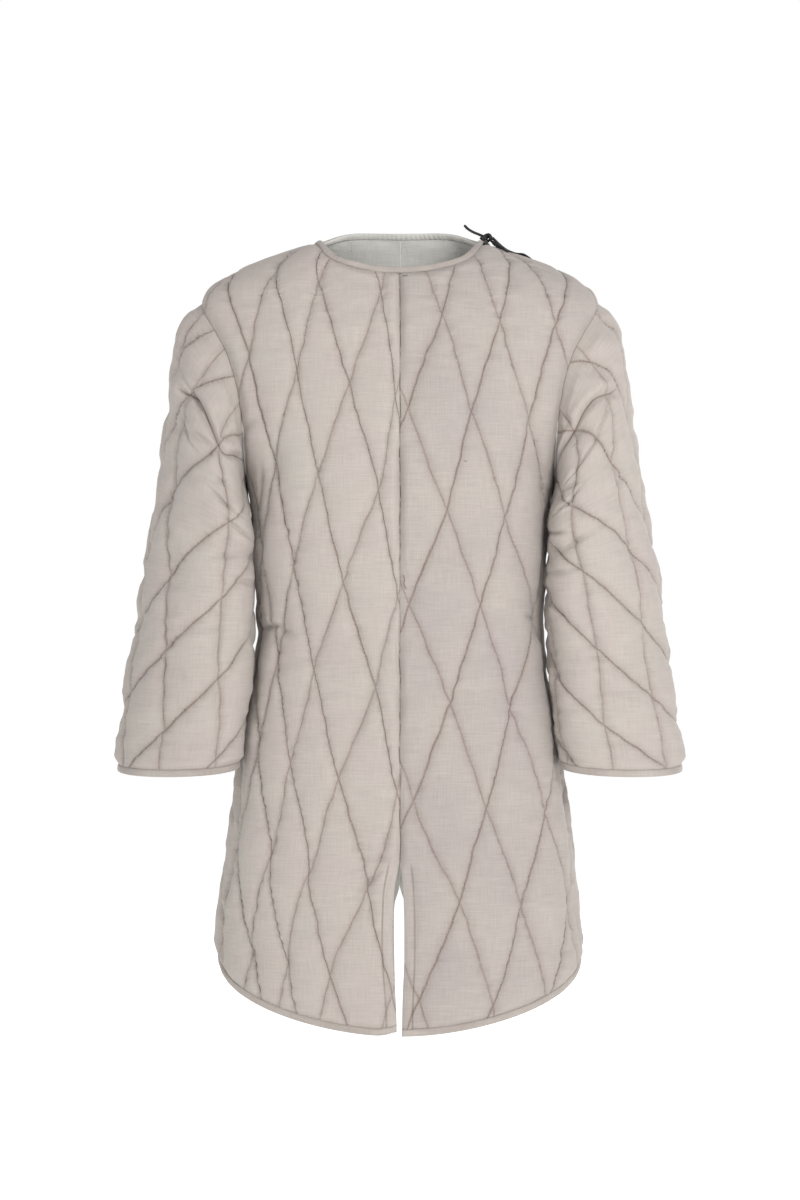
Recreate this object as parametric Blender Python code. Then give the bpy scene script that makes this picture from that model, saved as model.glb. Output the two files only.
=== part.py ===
"""A thigh-length quilted gambeson, filled out as if worn, with nobody in it.

Metres, +Z up. The front faces -Y, and the wearer's right is -X. The origin lies midway between the two
high shoulder points, where the wearer's shoulders carry the garment.

The body is a stack of rings. A place on it is (angle, z): the angle runs round a ring, 0 at the centre
front, 90 degrees at the wearer's left side and 180 at the centre back, and is negative on the right.
A sleeve is a stack of rings too. A place on it is (turn, reach): the turn is 0 on the outer line,
90 degrees in front and 180 at the underarm seam, and the reach is the length down the sleeve.
"""

import bmesh
import bpy
import numpy as np

WALL = 0.005
SEAM_GAP = 0.0003
QUARTER = np.pi / 2

SHOULDER_TIP_Z = -0.080
UNDERARM_Z = -0.310
ARMHOLE_MIDDLE_Z = (SHOULDER_TIP_Z + UNDERARM_Z) / 2
ARMHOLE_HALF_HEIGHT = (SHOULDER_TIP_Z - UNDERARM_Z) / 2
ARMHOLE_DEPTH = {"front": 0.080, "back": 0.076}
ARMHOLE_STEPS = 8

NECK_DROP_FRONT = 0.042
NECK_RISE_BACK = 0.020
HEM_CENTRE_Z = {"front": -0.999, "back": -1.018}
HEM_SIDE_Z = -0.910
ROUNDED_CORNER_LIFT = 0.006
ROUNDED_CORNER_REACH = 0.016
SHOULDER_OPENING = 0.0015

CUFF_REACH = 0.600
SLEEVE_STEPS = 15

COLUMNS = 12
NECK_ROWS = 3
SKIRT_ROWS = 12

BODY_COLUMNS = ("z", "half_width", "front", "back", "squareness")
BODY = (
    (0.050, 0.072, 0.034, 0.066, 0.02),
    (0.020, 0.087, 0.056, 0.075, 0.05),
    (0.000, 0.102, 0.067, 0.082, 0.06),
    (-0.013, 0.121, 0.073, 0.087, 0.07),
    (-0.028, 0.160, 0.079, 0.092, 0.08),
    (-0.044, 0.204, 0.085, 0.097, 0.08),
    (-0.059, 0.230, 0.091, 0.101, 0.09),
    (-0.080, 0.252, 0.099, 0.106, 0.09),
    (-0.105, 0.257, 0.107, 0.112, 0.09),
    (-0.150, 0.248, 0.118, 0.118, 0.09),
    (-0.200, 0.232, 0.127, 0.120, 0.09),
    (-0.250, 0.214, 0.130, 0.117, 0.09),
    (-0.310, 0.196, 0.129, 0.112, 0.09),
    (-0.420, 0.184, 0.122, 0.102, 0.09),
    (-0.500, 0.181, 0.118, 0.100, 0.09),
    (-0.560, 0.187, 0.121, 0.106, 0.09),
    (-0.640, 0.203, 0.127, 0.120, 0.09),
    (-0.720, 0.213, 0.131, 0.130, 0.08),
    (-0.820, 0.225, 0.136, 0.136, 0.08),
    (-0.920, 0.233, 0.141, 0.141, 0.08),
    (-1.060, 0.240, 0.148, 0.148, 0.08),
)

SLEEVE_COLUMNS = (
    "reach",
    "outer_x",
    "outer_z",
    "inner_x",
    "inner_z",
    "outer_y",
    "inner_y",
    "half_depth",
    "front_drop",
)
SLEEVE = (
    (0.000, 0.252, -0.080, 0.196, -0.310, 0.000, 0.000, 0.078, 0.000),
    (0.030, 0.273, -0.112, 0.196, -0.319, 0.000, -0.012, 0.081, 0.000),
    (0.080, 0.286, -0.167, 0.193, -0.330, 0.004, -0.035, 0.083, 0.000),
    (0.150, 0.297, -0.235, 0.189, -0.347, 0.012, -0.053, 0.082, 0.001),
    (0.230, 0.310, -0.315, 0.187, -0.376, 0.014, -0.056, 0.080, 0.002),
    (0.330, 0.324, -0.407, 0.185, -0.427, 0.008, -0.052, 0.075, 0.003),
    (0.430, 0.338, -0.507, 0.187, -0.508, -0.002, -0.052, 0.069, 0.004),
    (0.525, 0.350, -0.600, 0.193, -0.596, -0.018, -0.060, 0.063, 0.005),
    (0.600, 0.358, -0.669, 0.201, -0.664, -0.028, -0.070, 0.059, 0.006),
    (0.660, 0.363, -0.728, 0.206, -0.722, -0.034, -0.076, 0.057, 0.006),
)
CAP_FADE = 0.110

FOLD_RADIUS = 0.200
FOLD_COLUMNS = ("angle_deg", "z", "half_length", "half_width", "slope_deg", "depth")
FOLDS = (
    # a pinched waist, fuller on the wearer's right
    (-62, -0.495, 0.075, 0.030, 5, 0.0060),
    (66, -0.490, 0.060, 0.030, -5, 0.0045),
    (128, -0.500, 0.080, 0.032, 4, 0.0050),
    (-124, -0.505, 0.085, 0.034, -4, 0.0055),
    # the skirt's side folds below the hip
    (-70, -0.700, 0.110, 0.030, 86, 0.0070),
    (74, -0.715, 0.120, 0.030, 94, 0.0055),
    (-112, -0.790, 0.140, 0.040, 84, 0.0060),
    (108, -0.770, 0.150, 0.040, 97, 0.0055),
    # cloth drawn in above the two slits
    (-9, -0.790, 0.060, 0.026, 72, 0.0045),
    (174, -0.850, 0.060, 0.028, 98, 0.0040),
    # from the armholes towards the chest and the shoulder blades
    (-50, -0.300, 0.060, 0.030, 40, 0.0045),
    (52, -0.290, 0.055, 0.028, 142, 0.0040),
    (130, -0.290, 0.070, 0.032, 38, 0.0050),
    (-132, -0.280, 0.065, 0.032, 140, 0.0045),
)

SLEEVE_FOLD_RADIUS = 0.075
SLEEVE_FOLD_COLUMNS = ("turn_deg", "reach", "half_length", "half_width", "slope_deg", "depth")
SLEEVE_FOLDS = (
    (150, 0.290, 0.055, 0.026, 20, 0.0060),
    (120, 0.150, 0.055, 0.026, -35, 0.0050),
    (245, 0.330, 0.060, 0.028, -15, 0.0050),
    (40, 0.440, 0.060, 0.030, 30, 0.0035),
)

SLIT_COLUMNS = ("z", "right_front", "left_front", "backs")
SLIT = (
    (-0.780, 0.0000, 0.0000, 0.0000),
    (-0.815, 0.0068, 0.0034, 0.0000),
    (-0.838, 0.0082, 0.0044, 0.0000),
    (-0.865, 0.0090, 0.0050, 0.0068),
    (-0.900, 0.0088, 0.0050, 0.0078),
    (-0.950, 0.0052, 0.0030, 0.0070),
    (-1.060, 0.0022, 0.0012, 0.0045),
)

BINDING_SECTION = (
    # (distance past the seam, height over the cloth)
    (0.0005, 0.0008),
    (0.0055, 0.0012),
    (0.0088, 0.0004),
    (0.0100, -0.0025),
    (0.0088, -0.0054),
    (0.0055, -0.0062),
    (0.0005, -0.0058),
)

LACE_DIAMETER = 0.0035
LACE_POINT_STEP = 0.0090
KNOT_CENTRE = (0.1110, -0.0030, 0.0015)
KNOT_SIZE = (0.0062, 0.0068, 0.0052)
LACES = {
    "lace_tail_neck": (
        (0.1060, 0.0050, 0.0054),
        (0.1010, 0.0120, 0.0086),
        (0.0965, 0.0190, 0.0114),
        (0.0920, 0.0260, 0.0146),
        (0.0870, 0.0320, 0.0189),
        (0.0835, 0.0370, 0.0234),
    ),
    "lace_tail_short": (
        (0.1160, -0.0100, -0.0024),
        (0.1210, -0.0140, -0.0068),
        (0.1270, -0.0190, -0.0112),
        (0.1320, -0.0250, -0.0150),
        (0.1350, -0.0320, -0.0178),
        (0.1360, -0.0390, -0.0200),
    ),
    "lace_loop": (
        (0.1190, -0.0045, -0.0044),
        (0.1270, -0.0075, -0.0105),
        (0.1360, -0.0090, -0.0156),
        (0.1460, -0.0100, -0.0199),
        (0.1550, -0.0080, -0.0233),
        (0.1590, 0.0000, -0.0247),
        (0.1550, 0.0070, -0.0232),
        (0.1460, 0.0080, -0.0198),
        (0.1360, 0.0060, -0.0152),
        (0.1270, 0.0030, -0.0100),
        (0.1185, 0.0015, -0.0036),
    ),
    "lace_tail_long": (
        (0.1180, -0.0010, 0.0028),
        (0.1270, -0.0020, -0.0062),
        (0.1370, -0.0015, -0.0137),
        (0.1480, -0.0010, -0.0180),
        (0.1570, -0.0045, -0.0194),
        (0.1635, -0.0095, -0.0237),
        (0.1685, -0.0150, -0.0287),
    ),
}

CLOTH = {"colour": (0.60, 0.54, 0.49, 1.0), "roughness": 0.9}
CLOTH_LEFT = {"colour": (0.58, 0.51, 0.48, 1.0), "roughness": 0.9}
BINDING = {"colour": (0.56, 0.50, 0.46, 1.0), "roughness": 0.88}
LACE = {"colour": (0.010, 0.010, 0.011, 1.0), "roughness": 0.6}


def column(table, names, name):
    return np.array([row[names.index(name)] for row in table])


def through(places, values, at):
    """A smooth curve through (places, values), which never overshoots between two rows."""
    places, values = (places, values) if places[0] < places[-1] else (places[::-1], values[::-1])
    steps = np.diff(places)
    slopes = np.diff(values) / steps
    tangents = np.concatenate([slopes[:1], (slopes[:-1] + slopes[1:]) / 2, slopes[-1:]])
    turning = np.concatenate([[False], slopes[:-1] * slopes[1:] <= 0, [False]])
    tangents[turning] = 0
    at = np.clip(at, places[0], places[-1])
    row = np.clip(np.searchsorted(places, at) - 1, 0, len(steps) - 1)
    t = (at - places[row]) / steps[row]
    start = (1 + 2 * t) * (1 - t) ** 2 * values[row] + t * (1 - t) ** 2 * steps[row] * tangents[row]
    end = t**2 * (3 - 2 * t) * values[row + 1] + t**2 * (t - 1) * steps[row] * tangents[row + 1]
    return start + end


def body_size(name, z):
    return through(column(BODY, BODY_COLUMNS, "z"), column(BODY, BODY_COLUMNS, name), z)


def fold_depth(folds, radius, angle, along):
    """How far the soft troughs of a fold table take the cloth in, at arrays of both coordinates."""
    depth = 0 * angle + 0 * along
    for angle_deg, fold_along, half_length, half_width, slope_deg, fold in folds:
        across = (angle - np.radians(angle_deg) + np.pi) % (2 * np.pi) - np.pi
        slope = np.radians(slope_deg)
        right, up = across * radius, along - fold_along
        down_fold = (right * np.cos(slope) + up * np.sin(slope)) / half_length
        over_fold = (up * np.cos(slope) - right * np.sin(slope)) / half_width
        depth = depth + fold * np.exp(-(down_fold**2) - over_fold**2)
    return depth


def body(angle, z):
    """The outer surface of the body, at arrays of angle and z."""
    fullness = 1 + body_size("squareness", z) * np.sin(2 * angle) ** 2
    fullness = fullness - fold_depth(FOLDS, FOLD_RADIUS, angle, z) / FOLD_RADIUS
    depth = np.where(np.cos(angle) > 0, body_size("front", z), body_size("back", z))
    x = body_size("half_width", z) * np.sin(angle) * fullness
    return np.stack([x, -depth * np.cos(angle) * fullness, z + 0 * angle], axis=-1)


def armhole_angle(z, part):
    """How far from the centre of the front or the back the armhole lies at height z."""
    round_arm = np.sqrt(np.clip(1 - ((z - ARMHOLE_MIDDLE_Z) / ARMHOLE_HALF_HEIGHT) ** 2, 0, 1))
    share = ARMHOLE_DEPTH[part] * round_arm / body_size(part, z)
    squareness = body_size("squareness", z)
    angle = np.arccos(share)
    for _ in range(30):
        angle = np.arccos(share / (1 + squareness * np.sin(2 * angle) ** 2))
    return angle


def neck_z(angle):
    """The height of the neck edge, from its angle to the centre front."""
    front = -NECK_DROP_FRONT * np.clip(np.cos(angle), 0, 1) ** 3.6
    back = NECK_RISE_BACK * (1 - np.abs(np.sin(angle)) ** 5.7)
    return np.where(np.cos(angle) > 0, front, back)


def hem_z(angle, part, side):
    """The height of the hem's edge. It curves up to the side seam like a shirt's tail."""
    turn = np.abs(angle) if part == "front" else np.pi - np.abs(angle)
    rise = (np.sin(turn) ** 2 + 1 - np.cos(turn)) / 2
    z = HEM_CENTRE_Z[part] + (HEM_SIDE_Z - HEM_CENTRE_Z[part]) * rise
    if part == "front" and side < 0:
        x = body_size("half_width", z) * np.sin(turn)
        z = z + ROUNDED_CORNER_LIFT * np.exp(-((x / ROUNDED_CORNER_REACH) ** 2))
    return z


def step_for(place, first, second, width):
    """How far the second coordinate moves for a width along the cloth."""
    small = 0.0005
    ends = place(first, second + small) - place(first, second - small)
    return width * 2 * small / np.linalg.norm(ends, axis=-1)


def sunk(place, first, second, depth):
    """The surface moved in by depth, square to itself."""
    small = 0.0005
    across = place(first + 0.02, second) - place(first - 0.02, second)
    along = place(first, second + small) - place(first, second - small)
    normal = np.cross(across, along)
    normal /= np.linalg.norm(normal, axis=-1, keepdims=True)
    return place(first, second) - normal * np.asarray(depth)[..., None]


def sunk_body(angle, z, depth):
    return sunk(body, angle, z, depth)


def slit_half_width(z, part, side):
    name = "backs" if part == "back" else "right_front" if side < 0 else "left_front"
    open_part = through(column(SLIT, SLIT_COLUMNS, "z"), column(SLIT, SLIT_COLUMNS, name), z)
    return open_part + SEAM_GAP / 2


def seam_angle(gap, z, part):
    return QUARTER - gap / 2 / body_size(part, z)


BINDING_WIDTH = max(distance for distance, height in BINDING_SECTION)


def row_heights(angle, part, side):
    """The rows of a body panel: from the neck seam to the shoulder tip, the armhole, and the skirt."""
    neck_edge = neck_z(angle)
    neck_seam = neck_edge - step_for(body, angle, neck_edge, BINDING_WIDTH)
    hem_edge = hem_z(angle, part, side)
    hem_seam = hem_edge + step_for(body, angle, hem_edge, BINDING_WIDTH)
    turns = np.arange(1, ARMHOLE_STEPS + 1) * np.pi / ARMHOLE_STEPS
    yoke = [neck_seam + (SHOULDER_TIP_Z - neck_seam) * k / NECK_ROWS for k in range(NECK_ROWS + 1)]
    armhole = [ARMHOLE_MIDDLE_Z + ARMHOLE_HALF_HEIGHT * np.cos(turn) + 0 * angle for turn in turns]
    skirt = [UNDERARM_Z + (hem_seam - UNDERARM_Z) * k / SKIRT_ROWS for k in range(1, SKIRT_ROWS + 1)]
    return np.array(yoke + armhole + skirt)


def panel_places(part, side):
    """(angle, z) of a body panel's grid, as arrays of rows by columns."""
    share = np.linspace(0, 1, COLUMNS + 1)
    rough = row_heights(share * QUARTER if part == "front" else np.pi - share * QUARTER, part, side)
    shoulder_gap = SHOULDER_OPENING if side > 0 else SEAM_GAP
    angles = np.empty_like(rough)
    for row, z in enumerate(rough):
        side_z = z[-1]
        gap = shoulder_gap if side_z > SHOULDER_TIP_Z - 1e-6 else SEAM_GAP
        limit = seam_angle(gap, side_z, part)
        if UNDERARM_Z < side_z <= SHOULDER_TIP_Z:
            limit = np.minimum(limit, armhole_angle(side_z, part))
        start = slit_half_width(z[0], part, side) / body_size("half_width", z[0])
        angles[row] = start + (QUARTER - start) * share - (QUARTER - limit) * share**2
    turned = angles if part == "front" else np.pi - angles
    heights = np.empty_like(turned)
    for row in range(len(turned)):
        heights[row] = row_heights(turned[row], part, side)[row]
    return side * turned, heights


def armhole_places(turn):
    """The outer and the inner line of the left armhole, at an array of turns about the arm."""
    z = ARMHOLE_MIDDLE_Z + ARMHOLE_HALF_HEIGHT * np.cos(turn)
    front = armhole_angle(z, "front")
    back = np.pi - armhole_angle(z, "back")
    angle = np.where(np.sin(turn) >= 0, front, back)
    return sunk_body(angle, z, 0 * z), sunk_body(angle, z, WALL + 0 * z)


def sleeve_size(name, reach):
    reaches = column(SLEEVE, SLEEVE_COLUMNS, "reach")
    return through(reaches, column(SLEEVE, SLEEVE_COLUMNS, name), reach)


def sleeve_ring(turn, reach):
    outer_x, outer_z = sleeve_size("outer_x", reach), sleeve_size("outer_z", reach)
    inner_x, inner_z = sleeve_size("inner_x", reach), sleeve_size("inner_z", reach)
    share = np.cos(turn)
    outer_y, inner_y = sleeve_size("outer_y", reach), sleeve_size("inner_y", reach)
    x = (outer_x + inner_x) / 2 + (outer_x - inner_x) / 2 * share
    z = (outer_z + inner_z) / 2 + (outer_z - inner_z) / 2 * share
    y = (outer_y + inner_y) / 2 + (outer_y - inner_y) / 2 * share
    y = y - sleeve_size("half_depth", reach) * np.sin(turn)
    fold = fold_depth(SLEEVE_FOLDS, SLEEVE_FOLD_RADIUS, turn, reach)
    x, y = x - fold * share, y + fold * np.sin(turn)
    return np.stack([x, y, z - sleeve_size("front_drop", reach) * np.sin(turn)], axis=-1)


def sleeve(turn, reach):
    """The left sleeve's outer surface. It starts on the armhole and settles into rings."""
    left = np.clip(1 - reach / CAP_FADE, 0, 1)
    fade = left**2 * (3 - 2 * left)
    start = armhole_places(turn)[0] - sleeve_ring(turn, 0 * reach)
    return sleeve_ring(turn, reach) + start * fade[..., None]


def sleeve_wall(turn, reach, depth):
    place = sunk(sleeve, turn, reach, depth)
    outer, inner = armhole_places(turn)
    seam = np.where((depth > 0)[..., None], inner, outer)
    place = np.where((reach < 1e-6)[..., None], seam, place)
    place[..., 0] += SEAM_GAP
    return place


def new_object(name, bm, finish):
    mesh = bpy.data.meshes.new(name)
    bm.to_mesh(mesh)
    bm.free()
    mesh.shade_smooth()
    obj = bpy.data.objects.new(name, mesh)
    bpy.context.scene.collection.objects.link(obj)
    obj.data.materials.append(material(name, finish))
    return obj


def material(name, finish):
    made = bpy.data.materials.new(name)
    made.use_nodes = True
    shader = made.node_tree.nodes["Principled BSDF"]
    shader.inputs["Base Color"].default_value = finish["colour"]
    shader.inputs["Roughness"].default_value = finish["roughness"]
    shader.inputs["Metallic"].default_value = 0.0
    return made


def thickened(bm):
    """Gives a sheet a second side, and returns the points of that side."""
    made = bmesh.ops.extrude_face_region(bm, geom=bm.faces[:], use_keep_orig=True)
    return {item for item in made["geom"] if isinstance(item, bmesh.types.BMVert)}


def moved(bm, inner, place):
    """Moves each point to place(u, v, depth), where u and v are its first x and y."""
    verts = list(bm.verts)
    first = np.array([vert.co for vert in verts])
    depth = np.array([WALL if vert in inner else 0.0 for vert in verts])
    for vert, point in zip(verts, place(first[:, 0], first[:, 1], depth)):
        vert.co = point
    bmesh.ops.recalc_face_normals(bm, faces=bm.faces)
    if bm.calc_volume(signed=True) < 0:
        bmesh.ops.reverse_faces(bm, faces=bm.faces)


def tube_sheet(rows, steps):
    """A grid closed in x: its x runs from 0 to 1 round the tube and its y from 0 to 1 along it."""
    bm = bmesh.new()
    line = [bm.verts.new((1, 0, row / rows)) for row in range(rows + 1)]
    edges = [bm.edges.new(pair) for pair in zip(line, line[1:])]
    bmesh.ops.spin(
        bm, geom=line + edges, axis=(0, 0, 1), cent=(0, 0, 0), angle=2 * np.pi, steps=steps, use_merge=True
    )
    return bm


def unroll(bm):
    for vert in bm.verts:
        turn = np.arctan2(vert.co.y, vert.co.x) / (2 * np.pi) % 1
        vert.co = (0.0 if turn > 1 - 1e-6 else turn, vert.co.z, 0)


def make_panel(part, side, finish):
    angles, heights = panel_places(part, side)
    rows = len(angles) - 1
    bm = bmesh.new()
    bmesh.ops.create_grid(bm, x_segments=COLUMNS, y_segments=rows, size=0.5)
    inner = thickened(bm)

    def place(u, v, depth):
        col = np.rint((u + 0.5) * COLUMNS).astype(int)
        row = np.rint((v + 0.5) * rows).astype(int)
        return sunk_body(angles[row, col], heights[row, col], depth)

    moved(bm, inner, place)
    name = part + ("_left" if side > 0 else "_right")
    return new_object(name, bm, finish)


def make_sleeve(side):
    steps = 2 * ARMHOLE_STEPS
    bm = tube_sheet(SLEEVE_STEPS, steps)
    inner = thickened(bm)
    unroll(bm)

    def place(u, v, depth):
        points = sleeve_wall(u * 2 * np.pi, v**1.2 * CUFF_REACH, depth)
        return points * (side, 1, 1)

    moved(bm, inner, place)
    return new_object("sleeve" + ("_left" if side > 0 else "_right"), bm, CLOTH)


def binding_point(place, first, seam, direction, share):
    """Points of the rolled strip: share is 0 to 1 round its section, first and seam say where along."""
    section = np.array(BINDING_SECTION)
    corner = np.rint(share * len(section)).astype(int) % len(section)
    distance, height = section[corner].T
    second = seam + direction * step_for(place, first, seam, distance)
    return sunk(place, first, second, -height)


def make_open_binding(name, angles, seams, direction):
    """A strip along the edge of the body, with a flat end at each side of its opening."""
    count = len(angles) - 1
    bm = tube_sheet(count, len(BINDING_SECTION))
    bmesh.ops.holes_fill(bm, edges=bm.edges, sides=0)
    unroll(bm)

    def place(u, v, depth):
        at = np.rint(v * count).astype(int)
        return binding_point(body, angles[at], seams[at], direction, u)

    moved(bm, set(), place)
    return new_object(name, bm, BINDING)


def make_neck_binding():
    """From the front edge of the left shoulder's opening, round the neck, to its back edge."""
    fronts, backs = [panel_places(part, 1)[0][0] for part in ("front", "back")]
    mirrored = [panel_places(part, -1)[0][0] for part in ("front", "back")]
    angles = np.concatenate([fronts[::-1], mirrored[0][1:-1], [-QUARTER], mirrored[1][-2::-1], backs[1:]])
    angles = np.where(angles > 0, angles, angles + 2 * np.pi)
    start = len(fronts)
    angles[:start] = fronts[::-1] + 2 * np.pi
    edge = neck_z(angles)
    seams = edge - step_for(body, angles, edge, BINDING_WIDTH)
    return make_open_binding("neck_binding", angles, seams, 1)


def make_hem_binding(side):
    """From the front slit, round the side, to the back slit."""
    front, back = [panel_places(part, side) for part in ("front", "back")]
    angles = np.concatenate([front[0][-1][:-1], [side * QUARTER], back[0][-1][-2::-1]])
    seams = np.concatenate([front[1][-1], back[1][-1][-2::-1]])
    name = "hem_binding" + ("_left" if side > 0 else "_right")
    return make_open_binding(name, angles, seams, -1)


def make_cuff_binding(side):
    steps, sides = 2 * ARMHOLE_STEPS, len(BINDING_SECTION)
    bm = bmesh.new()
    ring_radius = 3
    circle = bmesh.ops.create_circle(bm, segments=sides, radius=1)["verts"]
    for k, vert in enumerate(circle):
        turn = 2 * np.pi * k / sides
        vert.co = (ring_radius + np.cos(turn), 0, np.sin(turn))
    bmesh.ops.spin(
        bm, geom=bm.verts[:] + bm.edges[:], axis=(0, 0, 1), cent=(0, 0, 0), angle=2 * np.pi, steps=steps,
        use_merge=True,
    )
    for vert in bm.verts:
        along = np.arctan2(vert.co.y, vert.co.x) / (2 * np.pi) % 1
        round_section = np.arctan2(vert.co.z, np.hypot(vert.co.x, vert.co.y) - ring_radius)
        vert.co = (round_section / (2 * np.pi) % 1, along, 0)

    def place(u, v, depth):
        seam = CUFF_REACH + 0 * v
        points = binding_point(sleeve, v * 2 * np.pi, seam, 1, u)
        points[:, 0] += SEAM_GAP
        return points * (side, 1, 1)

    moved(bm, set(), place)
    return new_object("cuff_binding" + ("_left" if side > 0 else "_right"), bm, BINDING)


def smooth_route(points, step):
    """Points a step apart on a smooth curve through the route's own points."""
    points = np.array(points)
    lengths = np.concatenate([[0], np.cumsum(np.linalg.norm(np.diff(points, axis=0), axis=1))])
    count = int(np.ceil(lengths[-1] / step))
    at = np.linspace(0, lengths[-1], count + 1)
    return np.stack([through(lengths, points[:, axis], at) for axis in range(3)], axis=-1)


def make_lace(name, points):
    curve = bpy.data.curves.new(name, "CURVE")
    curve.dimensions = "3D"
    curve.bevel_depth = LACE_DIAMETER / 2
    curve.bevel_resolution = 2
    curve.use_fill_caps = True
    route = smooth_route(points, LACE_POINT_STEP)
    spline = curve.splines.new("POLY")
    spline.points.add(len(route) - 1)
    for point, place in zip(spline.points, route):
        point.co = (*place, 1)
    obj = bpy.data.objects.new(name, curve)
    bpy.context.scene.collection.objects.link(obj)
    curve.materials.append(material(name, LACE))
    return obj


def make_knot():
    bm = bmesh.new()
    bmesh.ops.create_icosphere(bm, subdivisions=2, radius=1)
    bmesh.ops.scale(bm, vec=KNOT_SIZE, verts=bm.verts)
    knot = new_object("lace_knot", bm, LACE)
    knot.location = KNOT_CENTRE
    return knot


def main():
    for obj in list(bpy.data.objects):
        bpy.data.objects.remove(obj)
    for side, finish in ((-1, CLOTH), (1, CLOTH_LEFT)):
        make_panel("front", side, finish)
        make_panel("back", side, finish)
        make_sleeve(side)
        make_hem_binding(side)
        make_cuff_binding(side)
    make_neck_binding()
    make_knot()
    for name, points in LACES.items():
        make_lace(name, points)


main()
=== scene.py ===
"""The looks of the quilted gambeson: padded cotton, its bindings, the shoulder lace and the studio.

Metres, +Z up. The front faces -Y, and the wearer's right is -X. A place on the body is (angle, z) and a
place on a sleeve is (turn, reach), as in the part's own source, and the same form tables are used here.
The quilting, the seams and the creases are then raised and sunk square to that form.
"""

import bmesh
import bpy
import numpy as np
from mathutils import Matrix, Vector


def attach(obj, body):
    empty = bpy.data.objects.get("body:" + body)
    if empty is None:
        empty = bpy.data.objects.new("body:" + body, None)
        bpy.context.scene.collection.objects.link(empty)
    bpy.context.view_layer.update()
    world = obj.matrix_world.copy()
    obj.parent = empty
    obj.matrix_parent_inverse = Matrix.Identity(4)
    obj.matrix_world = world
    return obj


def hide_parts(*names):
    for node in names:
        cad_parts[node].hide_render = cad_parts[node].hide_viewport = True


bl_info = {
    "name": "Quilted Gambeson",
    "version": (1, 0, 0),
    "blender": (4, 5, 0),
    "location": "View3D > Sidebar > Gambeson",
    "description": "Makes the quilted cloth, the bindings, the lace and the studio of a gambeson",
    "category": "Add Mesh",
}

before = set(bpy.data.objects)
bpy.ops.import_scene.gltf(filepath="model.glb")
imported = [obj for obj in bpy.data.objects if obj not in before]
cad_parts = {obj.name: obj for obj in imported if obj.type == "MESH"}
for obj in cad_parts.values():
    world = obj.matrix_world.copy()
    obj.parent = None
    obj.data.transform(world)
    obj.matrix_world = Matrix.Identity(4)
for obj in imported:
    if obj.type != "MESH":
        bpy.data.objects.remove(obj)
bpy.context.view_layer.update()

# ---- the form, as in the part's own source ----

WALL = 0.005
SEAM_GAP = 0.0003
QUARTER = np.pi / 2

SHOULDER_TIP_Z = -0.080
UNDERARM_Z = -0.310
ARMHOLE_MIDDLE_Z = (SHOULDER_TIP_Z + UNDERARM_Z) / 2
ARMHOLE_HALF_HEIGHT = (SHOULDER_TIP_Z - UNDERARM_Z) / 2
ARMHOLE_DEPTH = {"front": 0.080, "back": 0.076}

NECK_DROP_FRONT = 0.042
NECK_RISE_BACK = 0.020
HEM_CENTRE_Z = {"front": -0.999, "back": -1.018}
HEM_SIDE_Z = -0.910
ROUNDED_CORNER_LIFT = 0.006
ROUNDED_CORNER_REACH = 0.016
SHOULDER_OPENING = 0.0015
CUFF_REACH = 0.600
BINDING_WIDTH = 0.010
NECK_CURVE = {"front": 3.6, "back": 5.7}

# steps for slopes of a surface, the rounds that settle an armhole's angle, and a tolerance
SMALL_STEP = 0.0005
SMALL_TURN = 0.02
ARMHOLE_ROUNDS = 30
NEARLY = 1e-6

BODY_COLUMNS = ("z", "half_width", "front", "back", "squareness")
BODY = (
    (0.050, 0.072, 0.034, 0.066, 0.02),
    (0.020, 0.087, 0.056, 0.075, 0.05),
    (0.000, 0.102, 0.067, 0.082, 0.06),
    (-0.013, 0.121, 0.073, 0.087, 0.07),
    (-0.028, 0.160, 0.079, 0.092, 0.08),
    (-0.044, 0.204, 0.085, 0.097, 0.08),
    (-0.059, 0.230, 0.091, 0.101, 0.09),
    (-0.080, 0.252, 0.099, 0.106, 0.09),
    (-0.105, 0.257, 0.107, 0.112, 0.09),
    (-0.150, 0.248, 0.118, 0.118, 0.09),
    (-0.200, 0.232, 0.127, 0.120, 0.09),
    (-0.250, 0.214, 0.130, 0.117, 0.09),
    (-0.310, 0.196, 0.129, 0.112, 0.09),
    (-0.420, 0.184, 0.122, 0.102, 0.09),
    (-0.500, 0.181, 0.118, 0.100, 0.09),
    (-0.560, 0.187, 0.121, 0.106, 0.09),
    (-0.640, 0.203, 0.127, 0.120, 0.09),
    (-0.720, 0.213, 0.131, 0.130, 0.08),
    (-0.820, 0.225, 0.136, 0.136, 0.08),
    (-0.920, 0.233, 0.141, 0.141, 0.08),
    (-1.060, 0.240, 0.148, 0.148, 0.08),
)

SLEEVE_COLUMNS = (
    "reach", "outer_x", "outer_z", "inner_x", "inner_z", "outer_y", "inner_y", "half_depth", "front_drop",
)
SLEEVE = (
    (0.000, 0.252, -0.080, 0.196, -0.310, 0.000, 0.000, 0.078, 0.000),
    (0.030, 0.273, -0.112, 0.196, -0.319, 0.000, -0.012, 0.081, 0.000),
    (0.080, 0.286, -0.167, 0.193, -0.330, 0.004, -0.035, 0.083, 0.000),
    (0.150, 0.297, -0.235, 0.189, -0.347, 0.012, -0.053, 0.082, 0.001),
    (0.230, 0.310, -0.315, 0.187, -0.376, 0.014, -0.056, 0.080, 0.002),
    (0.330, 0.324, -0.407, 0.185, -0.427, 0.008, -0.052, 0.075, 0.003),
    (0.430, 0.338, -0.507, 0.187, -0.508, -0.002, -0.052, 0.069, 0.004),
    (0.525, 0.350, -0.600, 0.193, -0.596, -0.018, -0.060, 0.063, 0.005),
    (0.600, 0.358, -0.669, 0.201, -0.664, -0.028, -0.070, 0.059, 0.006),
    (0.660, 0.363, -0.728, 0.206, -0.722, -0.034, -0.076, 0.057, 0.006),
)
CAP_FADE = 0.110

FOLD_RADIUS = 0.200
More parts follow.
